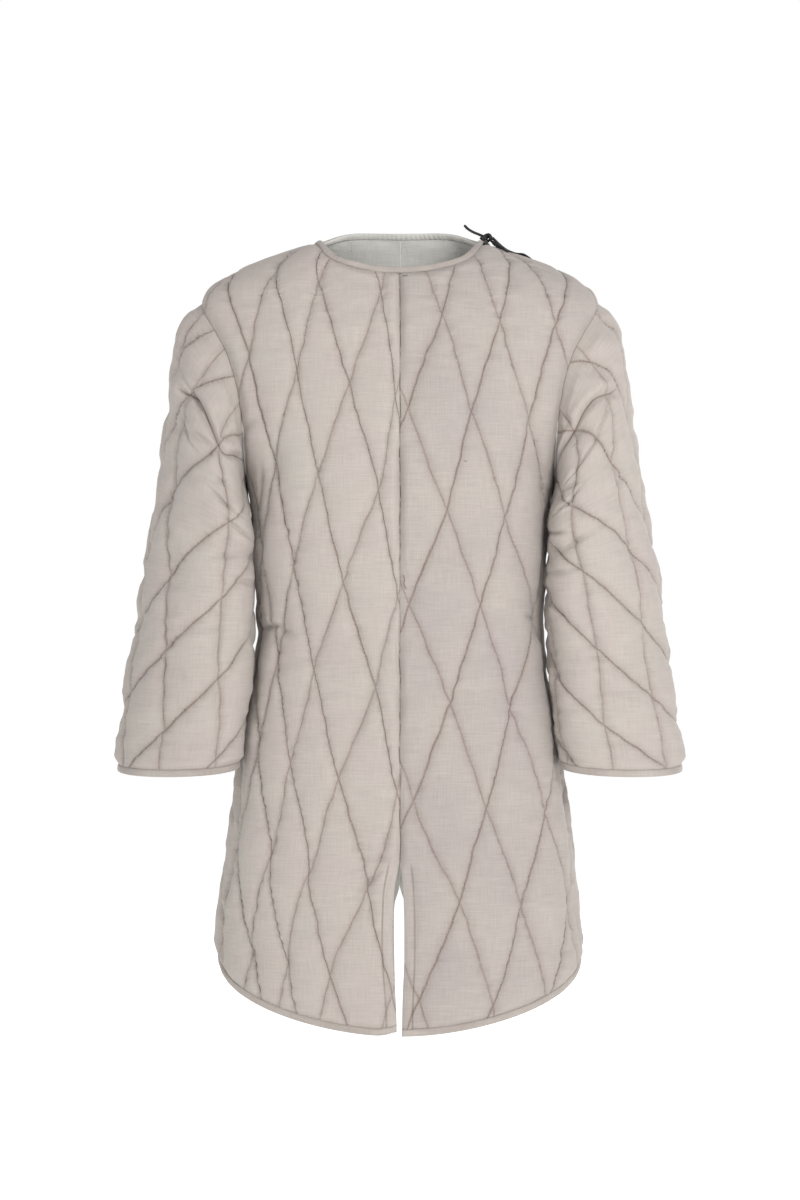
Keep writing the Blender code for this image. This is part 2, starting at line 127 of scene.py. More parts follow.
# (angle_deg, z, half_length, half_width, slope_deg, depth)
FOLDS = (
    # a pinched waist, fuller on the wearer's right
    (-62, -0.495, 0.075, 0.030, 5, 0.0060),
    (66, -0.490, 0.060, 0.030, -5, 0.0045),
    (128, -0.500, 0.080, 0.032, 4, 0.0050),
    (-124, -0.505, 0.085, 0.034, -4, 0.0055),
    # the skirt's side folds below the hip
    (-70, -0.700, 0.110, 0.030, 86, 0.0070),
    (74, -0.715, 0.120, 0.030, 94, 0.0055),
    (-112, -0.790, 0.140, 0.040, 84, 0.0060),
    (108, -0.770, 0.150, 0.040, 97, 0.0055),
    # cloth drawn in above the two slits
    (-9, -0.790, 0.060, 0.026, 72, 0.0045),
    (174, -0.850, 0.060, 0.028, 98, 0.0040),
    # from the armholes towards the chest and the shoulder blades
    (-50, -0.300, 0.060, 0.030, 40, 0.0045),
    (52, -0.290, 0.055, 0.028, 142, 0.0040),
    (130, -0.290, 0.070, 0.032, 38, 0.0050),
    (-132, -0.280, 0.065, 0.032, 140, 0.0045),
)
SLEEVE_FOLD_RADIUS = 0.075
# (turn_deg, reach, half_length, half_width, slope_deg, depth)
SLEEVE_FOLDS = (
    (150, 0.290, 0.055, 0.026, 20, 0.0060),
    (120, 0.150, 0.055, 0.026, -35, 0.0050),
    (245, 0.330, 0.060, 0.028, -15, 0.0050),
    (40, 0.440, 0.060, 0.030, 30, 0.0035),
)
SLIT_COLUMNS = ("z", "right_front", "left_front", "backs")
SLIT = (
    (-0.780, 0.0000, 0.0000, 0.0000),
    (-0.815, 0.0068, 0.0034, 0.0000),
    (-0.838, 0.0082, 0.0044, 0.0000),
    (-0.865, 0.0090, 0.0050, 0.0068),
    (-0.900, 0.0088, 0.0050, 0.0078),
    (-0.950, 0.0052, 0.0030, 0.0070),
    (-1.060, 0.0022, 0.0012, 0.0045),
)
SLIT_TOP = {"front": -0.782, "back": -0.840}

LACE_DIAMETER = 0.0035
KNOT_CENTRE = (0.1110, -0.0030, 0.0015)
LACES = {
    "lace_tail_neck": (
        (0.1060, 0.0050, 0.0054), (0.1010, 0.0120, 0.0086), (0.0965, 0.0190, 0.0114),
        (0.0920, 0.0260, 0.0146), (0.0870, 0.0320, 0.0189), (0.0835, 0.0370, 0.0234),
    ),
    "lace_tail_short": (
        (0.1160, -0.0100, -0.0024), (0.1210, -0.0140, -0.0068), (0.1270, -0.0190, -0.0112),
        (0.1320, -0.0250, -0.0150), (0.1350, -0.0320, -0.0178), (0.1360, -0.0390, -0.0200),
    ),
    "lace_loop": (
        (0.1190, -0.0045, -0.0044), (0.1270, -0.0075, -0.0105), (0.1360, -0.0090, -0.0156),
        (0.1460, -0.0100, -0.0199), (0.1550, -0.0080, -0.0233), (0.1590, 0.0000, -0.0247),
        (0.1550, 0.0070, -0.0232), (0.1460, 0.0080, -0.0198), (0.1360, 0.0060, -0.0152),
        (0.1270, 0.0030, -0.0100), (0.1185, 0.0015, -0.0036),
    ),
    "lace_tail_long": (
        (0.1180, -0.0010, 0.0028), (0.1270, -0.0020, -0.0062), (0.1370, -0.0015, -0.0137),
        (0.1480, -0.0010, -0.0180), (0.1570, -0.0045, -0.0194), (0.1635, -0.0095, -0.0237),
        (0.1685, -0.0150, -0.0287),
    ),
}
# (radius, lean, shift, sway) of the two wraps round the knot, and the turns over and under them
KNOT_RINGS = ((0.0046, 0.35, -0.0016, 0.00055), (0.0049, -0.4, 0.0022, 0.0007))
KNOT_TURNS = (
    ((-0.0050, 0.0046, 0.0020), (-0.0020, 0.0024, 0.0042), (0.0018, -0.0006, 0.0050),
     (0.0048, -0.0034, 0.0026), (0.0060, -0.0058, -0.0016)),
    ((-0.0062, -0.0060, -0.0034), (-0.0034, -0.0036, 0.0012), (0.0006, 0.0004, 0.0026),
     (0.0044, 0.0026, 0.0008), (0.0064, 0.0042, -0.0030)),
)
# (x, z) places on the front, and each eyelet's (x, z, radius)
LACE_DOWN = ((0.1090, 0.0010), (0.1075, -0.0030), (0.1060, -0.0068), (0.1048, -0.0098))
EYELETS = ((0.1046, -0.0104, 0.0027), (0.1090, -0.0082, 0.0022))
LACE_LIFT, EYELET_LIFT, EYELET_FLATNESS, EYELET_POINTS = 0.0022, 0.0008, 0.7, 28
KNOT_LACE, KNOT_FLATNESS, KNOT_POINTS = 0.0034, 0.78, 40
LACE_AROUND, ROUTE_STEP, TUBE_END = 18, 0.0006, 0.62
BRAID_PITCH, BRAID_HEIGHT, BRAID_SUNK = 0.0042, 0.00017, 0.00012
# ---- what the form doesn't hold: quilting, creases and detail ----

THREAD_DIAMETER, THREAD_LIFT, THREAD_STEP, THREAD_AROUND = 0.0009, 0.0004, 0.001, 6
# (x, z) places along each loose thread on the left front
LOOSE_THREADS = (
    ((0.0030, -0.0575), (0.0050, -0.0568), (0.0075, -0.0576), (0.0100, -0.0566)),
    ((0.0040, -0.4300), (0.0058, -0.4350), (0.0050, -0.4410), (0.0078, -0.4470)),
    ((0.0796, -0.2890), (0.0812, -0.2902), (0.0826, -0.2896)),
)

COLUMNS = 88
YOKE_ROWS = 28
ARMHOLE_ROWS = 84
SKIRT_ROWS = 220
SLEEVE_AROUND = 150
SLEEVE_ALONG = 200
# a sleeve's rows are closer together near the armhole
SLEEVE_ROWS_CURVE = 1.2
ARMHOLE_STEP = 3
SLEEVE_RADIUS = 0.08

# where the quilted lines cross, as columns of crossings: how far each column is from the centre seam, round
# the cloth, at three heights; then the height of a crossing in the first column, how much higher the next
# column's crossings are, and the height between a column's crossings
BODY_HEIGHTS = (-0.15, -0.48, -0.93)
BODY_CROSSINGS = {
    "front_right": (
        (0.0036, 0.0036, 0.0034), (0.0243, 0.0290, 0.0358), (0.0606, 0.0710, 0.0800),
        (0.1004, 0.1065, 0.1112), (0.1292, 0.1356, 0.1378), (0.1575, 0.1650, 0.1610),
        (0.1960, 0.1880, 0.1890), (0.2360, 0.2220, 0.2260), (0.2750, 0.2580, 0.2640),
    ),
    "front_left": (
        (0.0060, 0.0126, 0.0193), (0.0530, 0.0594, 0.0680), (0.0850, 0.1003, 0.1150),
        (0.1255, 0.1388, 0.1510), (0.1570, 0.1900, 0.1960), (0.1990, 0.2280, 0.2360),
        (0.2400, 0.2640, 0.2760),
    ),
    "back_right": tuple((0.020 + 0.038 * k, 0.016 + 0.037 * k, 0.026 + 0.041 * k) for k in range(8)),
    "back_left": tuple((0.002 + 0.040 * k, 0.006 + 0.038 * k, 0.010 + 0.042 * k) for k in range(8)),
}
BODY_FIRST_Z = {"front_right": -0.2085, "front_left": -0.2210, "back_right": -0.160, "back_left": -0.235}
BODY_RISE = {"front_right": 0.0085, "front_left": -0.0035, "back_right": 0.003, "back_left": -0.002}
BODY_HALF_PERIOD = {"front_right": 0.1225, "front_left": 0.1218, "back_right": 0.121, "back_left": 0.122}
BODY_LINE_SPACING = 0.078
BODY_LINE_SIDE = 0.129

# a sleeve is cut from the same quilted cloth, turned, so that one set of lines runs down it. A place on it is
# how far it is round the arm from the front line, outwards, and how far down the front line from the armhole
SLEEVE_LENGTHS = (0.05, 0.13, 0.25, 0.36, 0.48)
SLEEVE_LINE_PITCH = 0.066
SLEEVE_LINES = {
    "right": ((-0.022, -0.040, -0.036, -0.042, -0.053), (0.052, 0.060, 0.044, 0.034, 0.023)),
    "left": ((-0.030, -0.041, -0.027, -0.020, -0.016), (0.056, 0.036, 0.053, 0.054, 0.066)),
}
SLEEVE_FIRST_CROSSING = {"right": 0.0600, "left": 0.0375}
SLEEVE_CROSSING_PITCH = {"right": 0.1050, "left": 0.0989}
# how far a diagonal line drops from one lengthwise line to the next one outwards
SLEEVE_DROPS = {
    "right": (0.104, 0.100, 0.085, 0.066, 0.063),
    "left": (0.087, 0.087, 0.078, 0.066, 0.054),
}
SLEEVE_LINE_SPACING = 0.067
SLEEVE_LINE_SIDE = 0.092
# the pinched fold that crosses each sleeve's head between two tied crossings, as (round, down) places
SLEEVE_PINCH = {
    "right": ((-0.112, -0.008), (-0.068, 0.030), (-0.031, 0.0620), (0.030, 0.0607), (0.070, 0.0705)),
    "left": ((-0.112, 0.020), (-0.070, 0.026), (-0.027, 0.0387), (0.020, 0.0500), (0.065, 0.0678)),
}
PINCH_DEPTH = 0.0052
PINCH_WIDTH = 0.0034
PINCH_FLAT = 0.006
PINCH_FADE = 0.010
# how soon the painted shadow along a pinched fold fades past the fold's ends
PINCH_LINE_FADE = 0.008
# the padding heaped above the pinched fold: how high, how far above it, and how wide
PINCH_HEAP, PINCH_HEAP_RISE, PINCH_HEAP_WIDTH = 0.0024, 0.0080, 0.0065
# the fold leans, so a place is a little nearer to it than it is above it
PINCH_LEAN = 0.95

# how high the padding stands between two lines, how soon it gets there, and how much of it is a flat pillow
PUFF, PUFF_EDGE, PILLOW_SHARE = 0.0052, 0.0060, 0.72
GROOVE, GROOVE_WIDTH = 0.0016, 0.0020
CROSSING_PINCH, CROSSING_REACH = 0.0020, 0.011
# thread tension draws the cloth into short cross folds, which die out away from a line
PUCKER, PUCKER_REACH, CROSSING_PULL = 0.0021, 0.015, 0.8
SEAM_DIP, SEAM_DIP_WIDTH, ARMHOLE_DIP = 0.0022, 0.0030, 0.0007
SEAM_RIPPLE, SEAM_RIPPLE_REACH = ((0.0007, 0.0095),), 0.014
# how far from each edge the padding reaches its full height
SEAM_QUIET, CENTRE_QUIET, ARMHOLE_QUIET, SLIT_QUIET = 0.011, 0.009, (-0.002, 0.020), (0.009, 0.021)
# how far above the underarm and the shoulder tip the side seam turns into the armhole's, which dips less
UNDERARM_FADE, YOKE_FADE = 0.060, 0.020
# the body and the sleeve lie close under the arm, so most of the padding is squeezed flat there
UNDER_ARM_FLAT, UNDER_ARM_SEAM_FLAT, UNDER_ARM_Z, UNDER_ARM_REACH = 0.9, 0.5, -0.335, 0.055
SLEEVE_UNDER_ARM = {"turn": 0.75, "down": 0.10, "fade": 0.12}
# how far down a sleeve its cloth turns from square to the body's to its own
SLEEVE_OWN_REACH = 0.030
# a slit's edge is turned twice and stitched down: how high the fold stands, where its stitches are and how
# deep and wide they sink, and the rounding of its edge
SLIT_FADE, SLIT_FOLD, SLIT_STITCHES = 0.012, 0.0012, 0.0130
SLIT_STITCH_DIP, SLIT_STITCH_WIDTH, SLIT_EDGE_DIP, SLIT_EDGE_WIDTH = 0.0017, 0.0016, 0.0012, 0.0016
# SLIT_LINE_STRENGTH is how strong the painted shadow along the slit's stitched row is
SLIT_FOLD_STARTS, SLIT_FOLD_ENDS, SLIT_LINE_STRENGTH = (0.0, 0.003), (0.0140, 0.0115), 0.6
NO_SEAM = 0.02
LINING_SWELL = 0.0018
THINNEST = 0.0016
CREASE_STRENGTH, CREASE_QUIET = {"body": 1.25, "sleeve": 1.55}, {"body": 0.006, "sleeve": 0.012}
EDGE_TUCK, EDGE_TUCK_SHARE = 0.0012, 0.8
SLEEVE_PUFF, SLEEVE_SWELL = 1.15, 1.6
# so that the sleeves' random swells are not the body's own
SLEEVE_APART = 3.0

# smooth random swells, as layers of (height, size)
PUFF_UNEVEN = ((0.22, 0.060),)
PUCKER_FOLDS = ((0.65, 0.0075), (0.35, 0.0125))
LOOSE_SWELLS = ((0.0016, 0.085),)
LOOSE_FOLDS = ((0.0016, 0.024), (0.0008, 0.011))
SLIT_RIPPLE, SLIT_RIPPLE_PLACE, SLIT_RIPPLE_REACH = ((0.0011, 0.0085),), 0.012, 0.011
LINES_WANDER_ROUND = ((0.0034, 0.075), (0.0013, 0.013))
LINES_WANDER_DOWN = ((0.0060, 0.090), (0.0012, 0.015))
CENTRE_WANDER, CENTRE_WANDER_REACH = ((0.0008, 0.028), (0.0004, 0.009)), 0.010
GATHERS, GATHERS_REACH, GATHERS_STRETCH = ((0.0010, 0.0085),), 0.016, 0.3
# folds and ripples are longer across the cloth than down it
PUCKER_STRETCH, LOOSE_STRETCH, SLIT_STRETCH = (0.45, 0.45, 1.0), (0.40, 0.40, 1.0), (0.6, 0.6, 1.0)

# (angle_deg, z, half_length, half_width, slope_deg, depth)
CREASES = (
    # the pinched tucks at the waist
    (-60, -0.4950, 0.030, 0.0034, 3, 0.0058),
    (-57, -0.4870, 0.022, 0.0065, -6, -0.0034),
    (-47, -0.5000, 0.022, 0.0034, -14, 0.0036),
    (-48, -0.5040, 0.020, 0.0050, -24, 0.0022),
    (-72, -0.4820, 0.018, 0.0045, 16, 0.0026),
    (57, -0.4815, 0.014, 0.0040, -6, 0.0036),
    (64, -0.4930, 0.018, 0.0055, 12, 0.0022),
    (118, -0.5000, 0.024, 0.0045, 8, 0.0036),
    (-131, -0.4880, 0.028, 0.0050, -6, 0.0040),
    (-100, -0.5010, 0.018, 0.0045, 10, 0.0030),
    (150, -0.5140, 0.022, 0.0060, -14, 0.0024),
    # cloth gathered at the top of the front slit
    (-9.0, -0.7790, 0.018, 0.0028, 4, 0.0040),
    (-9.5, -0.8060, 0.020, 0.0030, 44, 0.0044),
    (-12.0, -0.7660, 0.020, 0.0040, -16, 0.0026),
    (-13.5, -0.7900, 0.013, 0.0045, 14, 0.0018),
    (-5.0, -0.7560, 0.017, 0.0036, 74, 0.0022),
    (4.0, -0.7640, 0.016, 0.0034, 112, 0.0020),
    (6.5, -0.8000, 0.014, 0.0036, 122, 0.0020),
    # and of the back slit
    (171, -0.8350, 0.018, 0.0034, 30, 0.0028),
    (-172, -0.8280, 0.017, 0.0032, 142, 0.0026),
    (178, -0.8150, 0.018, 0.0036, 84, 0.0020),
    # the skirt's sides, where the hip lets go
    (-82, -0.6800, 0.046, 0.0060, 87, 0.0044),
    (-77, -0.7320, 0.014, 0.0040, -44, 0.0034),
    (80, -0.7200, 0.024, 0.0050, 95, 0.0042),
    (-66, -0.8400, 0.050, 0.0085, 82, 0.0026),
    (69, -0.8600, 0.044, 0.0080, 98, 0.0024),
    (112, -0.7000, 0.040, 0.0065, 98, 0.0034),
    (-104, -0.6900, 0.036, 0.0065, 84, 0.0036),
    (140, -0.8700, 0.052, 0.0090, 94, 0.0024),
    (-146, -0.8900, 0.046, 0.0085, 86, 0.0026),
    # from the armholes
    (-52, -0.2400, 0.030, 0.0055, 24, 0.0030),
    (-58, -0.3200, 0.026, 0.0050, 62, 0.0030),
    (51, -0.2700, 0.028, 0.0055, 130, 0.0028),
    (60, -0.3260, 0.022, 0.0045, 118, 0.0026),
    (128, -0.2300, 0.034, 0.0060, 36, 0.0028),
    (-126, -0.2550, 0.030, 0.0055, 146, 0.0030),
    # over the shoulders and drawn towards the lace
    (64, -0.0230, 0.017, 0.0030, -40, 0.0022),
    (50, -0.0330, 0.020, 0.0036, -58, 0.0020),
    (80, -0.0350, 0.020, 0.0034, -20, 0.0018),
    (112, -0.0270, 0.018, 0.0034, 34, 0.0020),
    (-64, -0.0560, 0.026, 0.0060, 30, 0.0020),
    (-118, -0.0600, 0.026, 0.0060, 150, 0.0020),
)
# (turn_deg, reach, half_length, half_width, slope_deg, depth), on the wearer's right and on the left
SLEEVE_CREASES = {
    "right": (
        (60, 0.075, 0.026, 0.0040, 14, 0.0030),
        (88, 0.105, 0.028, 0.0040, -38, 0.0034),
        (62, 0.130, 0.018, 0.0036, 30, 0.0028),
        (112, 0.150, 0.022, 0.0040, -52, 0.0030),
        (118, 0.190, 0.026, 0.0050, 14, 0.0042),
        (140, 0.235, 0.030, 0.0052, 28, 0.0040),
        (126, 0.300, 0.026, 0.0052, -16, 0.0036),
        (152, 0.345, 0.024, 0.0050, 10, 0.0034),
        (48, 0.240, 0.020, 0.0055, -22, 0.0022),
        (205, 0.250, 0.026, 0.0055, 18, 0.0034),
        (232, 0.310, 0.030, 0.0060, -12, 0.0036),
        (262, 0.350, 0.024, 0.0060, 14, 0.0028),
        (300, 0.180, 0.026, 0.0060, -20, 0.0022),
        (80, 0.470, 0.022, 0.0060, 30, 0.0018),
    ),
    "left": (
        (70, 0.090, 0.030, 0.0042, 34, 0.0034),
        (104, 0.110, 0.030, 0.0042, 6, 0.0030),
        (128, 0.135, 0.022, 0.0042, -44, 0.0034),
        (136, 0.175, 0.024, 0.0050, 20, 0.0044),
        (150, 0.240, 0.028, 0.0050, -20, 0.0040),
        (122, 0.275, 0.026, 0.0050, 24, 0.0038),
        (146, 0.330, 0.024, 0.0050, 4, 0.0034),
        (56, 0.200, 0.022, 0.0055, 20, 0.0024),
        (212, 0.230, 0.028, 0.0055, -16, 0.0036),
        (240, 0.290, 0.028, 0.0060, 10, 0.0034),
        (268, 0.340, 0.022, 0.0060, -14, 0.0026),
        (310, 0.160, 0.026, 0.0060, 16, 0.0022),
        (96, 0.490, 0.020, 0.0060, -26, 0.0018),
    ),
}


def column(table, names, name):
    return np.array([row[names.index(name)] for row in table])


def through(places, values, at):
    """A smooth curve through (places, values), which never overshoots between two rows."""
    places, values = np.asarray(places), np.asarray(values)
    places, values = (places, values) if places[0] < places[-1] else (places[::-1], values[::-1])
    steps = np.diff(places)
    slopes = np.diff(values) / steps
    tangents = np.concatenate([slopes[:1], (slopes[:-1] + slopes[1:]) / 2, slopes[-1:]])
    turning = np.concatenate([[False], slopes[:-1] * slopes[1:] <= 0, [False]])
    tangents[turning] = 0
    at = np.clip(at, places[0], places[-1])
    row = np.clip(np.searchsorted(places, at) - 1, 0, len(steps) - 1)
    t = (at - places[row]) / steps[row]
    start = (1 + 2 * t) * (1 - t) ** 2 * values[row] + t * (1 - t) ** 2 * steps[row] * tangents[row]
    end = t**2 * (3 - 2 * t) * values[row + 1] + t**2 * (t - 1) * steps[row] * tangents[row + 1]
    return start + end


def smooth(start, end, at):
    """0 before start, 1 after end, and a soft step between."""
    t = np.clip((at - start) / (end - start), 0, 1)
    return t * t * (3 - 2 * t)


def bell(at, width):
    """1 at 0, fading softly to almost nothing two widths away."""
    return np.exp(-((at / width) ** 2))


def noise(points, size, seed):
    """Smooth random numbers from -1 to 1, which change over about a size, at an array of points."""
    side = 32
    lattice = np.random.default_rng(seed).uniform(-1, 1, (side, side, side))
    spot = points / size
    cell = np.floor(spot).astype(int)
    t = spot - cell
    t = t * t * (3 - 2 * t)
    total = 0
    for corner in np.ndindex(2, 2, 2):
        weight = np.prod(np.where(corner, t, 1 - t), axis=-1)
        i, j, k = np.moveaxis((cell + corner) % side, -1, 0)
        total = total + weight * lattice[i, j, k]
    return total


def layered(points, seed, layers):
    """A sum of smooth random swells, as layers of (height, size)."""
    return sum(height * noise(points, size, seed + k) for k, (height, size) in enumerate(layers))


# ---- places on the body and the sleeves ----


def body_size(name, z):
    return through(column(BODY, BODY_COLUMNS, "z"), column(BODY, BODY_COLUMNS, name), z)


def fold_depth(folds, radius, angle, along):
    """How far the soft troughs of a fold table take the cloth in, at arrays of both coordinates."""
    depth = 0 * angle + 0 * along
    for angle_deg, fold_along, half_length, half_width, slope_deg, fold in folds:
        across = (angle - np.radians(angle_deg) + np.pi) % (2 * np.pi) - np.pi
        slope = np.radians(slope_deg)
        right, up = across * radius, along - fold_along
        down_fold = (right * np.cos(slope) + up * np.sin(slope)) / half_length
        over_fold = (up * np.cos(slope) - right * np.sin(slope)) / half_width
        depth = depth + fold * np.exp(-(down_fold**2) - over_fold**2)
    return depth


def body(angle, z):
    """The outer surface of the body, at arrays of angle and z."""
    fullness = 1 + body_size("squareness", z) * np.sin(2 * angle) ** 2
    fullness = fullness - fold_depth(FOLDS, FOLD_RADIUS, angle, z) / FOLD_RADIUS
    depth = np.where(np.cos(angle) > 0, body_size("front", z), body_size("back", z))
    x = body_size("half_width", z) * np.sin(angle) * fullness
    return np.stack([x, -depth * np.cos(angle) * fullness, z + 0 * angle], axis=-1)


def armhole_angle(z, part):
    """How far from the centre of the front or the back the armhole lies at height z."""
    round_arm = np.sqrt(np.clip(1 - ((z - ARMHOLE_MIDDLE_Z) / ARMHOLE_HALF_HEIGHT) ** 2, 0, 1))
    share = ARMHOLE_DEPTH[part] * round_arm / body_size(part, z)
    squareness = body_size("squareness", z)
    angle = np.arccos(share)
    for _ in range(ARMHOLE_ROUNDS):
        angle = np.arccos(share / (1 + squareness * np.sin(2 * angle) ** 2))
    return angle


def neck_z(angle):
    """The height of the neck edge, from its angle to the centre front."""
    front = -NECK_DROP_FRONT * np.clip(np.cos(angle), 0, 1) ** NECK_CURVE["front"]
    back = NECK_RISE_BACK * (1 - np.abs(np.sin(angle)) ** NECK_CURVE["back"])
    return np.where(np.cos(angle) > 0, front, back)


def hem_z(angle, part, side):
    """The height of the hem's edge. It curves up to the side seam like a shirt's tail."""
    turn = np.abs(angle) if part == "front" else np.pi - np.abs(angle)
    rise = (np.sin(turn) ** 2 + 1 - np.cos(turn)) / 2
    z = HEM_CENTRE_Z[part] + (HEM_SIDE_Z - HEM_CENTRE_Z[part]) * rise
    if part == "front" and side < 0:
        x = body_size("half_width", z) * np.sin(turn)
        z = z + ROUNDED_CORNER_LIFT * np.exp(-((x / ROUNDED_CORNER_REACH) ** 2))
    return z


def step_for(place, first, second, width):
    """How far the second coordinate moves for a width along the cloth."""
    ends = place(first, second + SMALL_STEP) - place(first, second - SMALL_STEP)
    return width * 2 * SMALL_STEP / np.linalg.norm(ends, axis=-1)


def square_to(place, first, second):
    """The direction square to the surface, pointing out of the cloth."""
    across = place(first + SMALL_TURN, second) - place(first - SMALL_TURN, second)
    along = place(first, second + SMALL_STEP) - place(first, second - SMALL_STEP)
    normal = np.cross(across, along)
    return normal / np.linalg.norm(normal, axis=-1, keepdims=True)


def slit_half_width(z, part, side):
    name = "backs" if part == "back" else "right_front" if side < 0 else "left_front"
    open_part = through(column(SLIT, SLIT_COLUMNS, "z"), column(SLIT, SLIT_COLUMNS, name), z)
    return open_part + SEAM_GAP / 2


def row_heights(angle, part, side):
    """The rows of a body panel: from the neck seam to the shoulder tip, the armhole, and the skirt."""
    neck_edge = neck_z(angle)
    neck_seam = neck_edge - step_for(body, angle, neck_edge, BINDING_WIDTH)
    hem_edge = hem_z(angle, part, side)
    hem_seam = hem_edge + step_for(body, angle, hem_edge, BINDING_WIDTH)
    yoke = np.linspace(0, 1, YOKE_ROWS, endpoint=False)[:, None]
    turns = np.linspace(0, np.pi, ARMHOLE_ROWS, endpoint=False)[:, None]
    skirt = np.linspace(0, 1, SKIRT_ROWS + 1)[:, None]
    return np.concatenate([
        neck_seam + (SHOULDER_TIP_Z - neck_seam) * yoke,
        ARMHOLE_MIDDLE_Z + ARMHOLE_HALF_HEIGHT * np.cos(turns) + 0 * angle,
        UNDERARM_Z + (hem_seam - UNDERARM_Z) * skirt,
    ])


def panel_places(part, side):
    """(angle, z) of a body panel's grid, as arrays of rows by columns."""
    share = np.linspace(0, 1, COLUMNS + 1)
    rough = row_heights(share * QUARTER if part == "front" else np.pi - share * QUARTER, part, side)
    side_z = rough[:, -1]
    open_shoulder = (side_z > SHOULDER_TIP_Z - NEARLY) & (side > 0)
    gap = np.where(open_shoulder, SHOULDER_OPENING, SEAM_GAP)
    limit = QUARTER - gap / 2 / body_size(part, side_z)
    beside_arm = (side_z > UNDERARM_Z) & (side_z <= SHOULDER_TIP_Z)
    limit = np.where(beside_arm, np.minimum(limit, armhole_angle(side_z, part)), limit)[:, None]
    start = (slit_half_width(rough[:, 0], part, side) / body_size("half_width", rough[:, 0]))[:, None]
    angles = start + (QUARTER - start) * share - (QUARTER - limit) * share**2
    turned = angles if part == "front" else np.pi - angles
    rows = np.arange(len(turned))
    heights = np.array([row_heights(turned[row], part, side)[row] for row in rows])
    return side * turned, heights


def armhole_places(turn, side):
    """An armhole's line and the way out of the cloth there, both turned to the left side."""
    z = ARMHOLE_MIDDLE_Z + ARMHOLE_HALF_HEIGHT * np.cos(turn)
    angle = np.where(np.sin(turn) >= 0, armhole_angle(z, "front"), np.pi - armhole_angle(z, "back"))
    mirror = (side, 1, 1)
    return body(side * angle, z) * mirror, square_to(body, side * angle, z) * mirror


def sleeve_size(name, reach):
    reaches = column(SLEEVE, SLEEVE_COLUMNS, "reach")
    return through(reaches, column(SLEEVE, SLEEVE_COLUMNS, name), reach)


def sleeve_ring(turn, reach):
    outer_x, outer_z = sleeve_size("outer_x", reach), sleeve_size("outer_z", reach)
    inner_x, inner_z = sleeve_size("inner_x", reach), sleeve_size("inner_z", reach)
    share = np.cos(turn)
    outer_y, inner_y = sleeve_size("outer_y", reach), sleeve_size("inner_y", reach)
    x = (outer_x + inner_x) / 2 + (outer_x - inner_x) / 2 * share
    z = (outer_z + inner_z) / 2 + (outer_z - inner_z) / 2 * share
    y = (outer_y + inner_y) / 2 + (outer_y - inner_y) / 2 * share
    y = y - sleeve_size("half_depth", reach) * np.sin(turn)
    fold = fold_depth(SLEEVE_FOLDS, SLEEVE_FOLD_RADIUS, turn, reach)
    x, y = x - fold * share, y + fold * np.sin(turn)
    return np.stack([x, y, z - sleeve_size("front_drop", reach) * np.sin(turn)], axis=-1)


def sleeve_on(side):
    """The outer surface of one side's sleeve, turned to the left side, as a function of turn and reach."""
    def sleeve(turn, reach):
        fade = smooth(CAP_FADE, 0, reach)
        start = armhole_places(turn, side)[0] - sleeve_ring(turn, 0 * reach)
        return sleeve_ring(turn, reach) + start * fade[..., None]
    return sleeve


# ---- quilting ----


def line_coordinate(lines, heights, arc, z):
    """A number that is whole on each of a set of long lines, given how far round each is at some heights."""
    at = np.array([through(heights, line, z) for line in lines])
    first, last = at[1] - at[0], at[-1] - at[-2]
    coordinate = np.minimum((arc - at[0]) / first, 0) + np.maximum((arc - at[-1]) / last, 0)
    for low, high in zip(at, at[1:]):
        coordinate = coordinate + np.clip((arc - low) / (high - low), 0, 1)
    return coordinate


def wandered(points, arc, z, seed):
    """The same places, moved a little, as a hand-guided line of stitching wanders."""
    return arc + layered(points, seed, LINES_WANDER_ROUND), z + layered(points, seed + 2, LINES_WANDER_DOWN)


def body_quilting(panel, points, arc, z):
    """Two numbers, each whole on the lines of one direction, at arrays of places on a body panel."""
    arc, z = wandered(points, arc, z, 11)
    across = line_coordinate(BODY_CROSSINGS[panel], BODY_HEIGHTS, arc, z)
    along = (z - BODY_FIRST_Z[panel] - BODY_RISE[panel] * across) / BODY_HALF_PERIOD[panel]
    return (across + along) / 2, (along - across) / 2


def sleeve_quilting(side, points, arc, down_front):
    arc, down_front = wandered(points, arc, down_front, 31)
    inner, outer = [np.array(line) for line in SLEEVE_LINES[side]]
    lines = [inner - SLEEVE_LINE_PITCH * k for k in (3, 2, 1)] + [inner, outer]
    lines += [outer + SLEEVE_LINE_PITCH * k for k in (1, 2, 3)]
    across = line_coordinate(lines, SLEEVE_LENGTHS, arc, down_front) - 3
    drop = through(SLEEVE_LENGTHS, SLEEVE_DROPS[side], down_front)
    crossings = (down_front - SLEEVE_FIRST_CROSSING[side] - drop * across) / SLEEVE_CROSSING_PITCH[side]
    return across, crossings


def pinch_distance(side, points, arc, down_front):
    """How far above a sleeve's pinched fold each place is, and how far beyond the fold's ends."""
    arc, down_front = wandered(points, arc, down_front, 31)
    arcs, downs = np.array(SLEEVE_PINCH[side]).T
    beyond = np.maximum(arcs[0] - arc, 0) + np.maximum(arc - arcs[-1], 0)
    return PINCH_LEAN * (through(arcs, downs, arc) - down_front), beyond


def crown(quilt):
    """1 in the middle of each diamond of the quilting, and 0 on its lines."""
    return np.abs(np.sin(np.pi * quilt[0]) * np.sin(np.pi * quilt[1]))


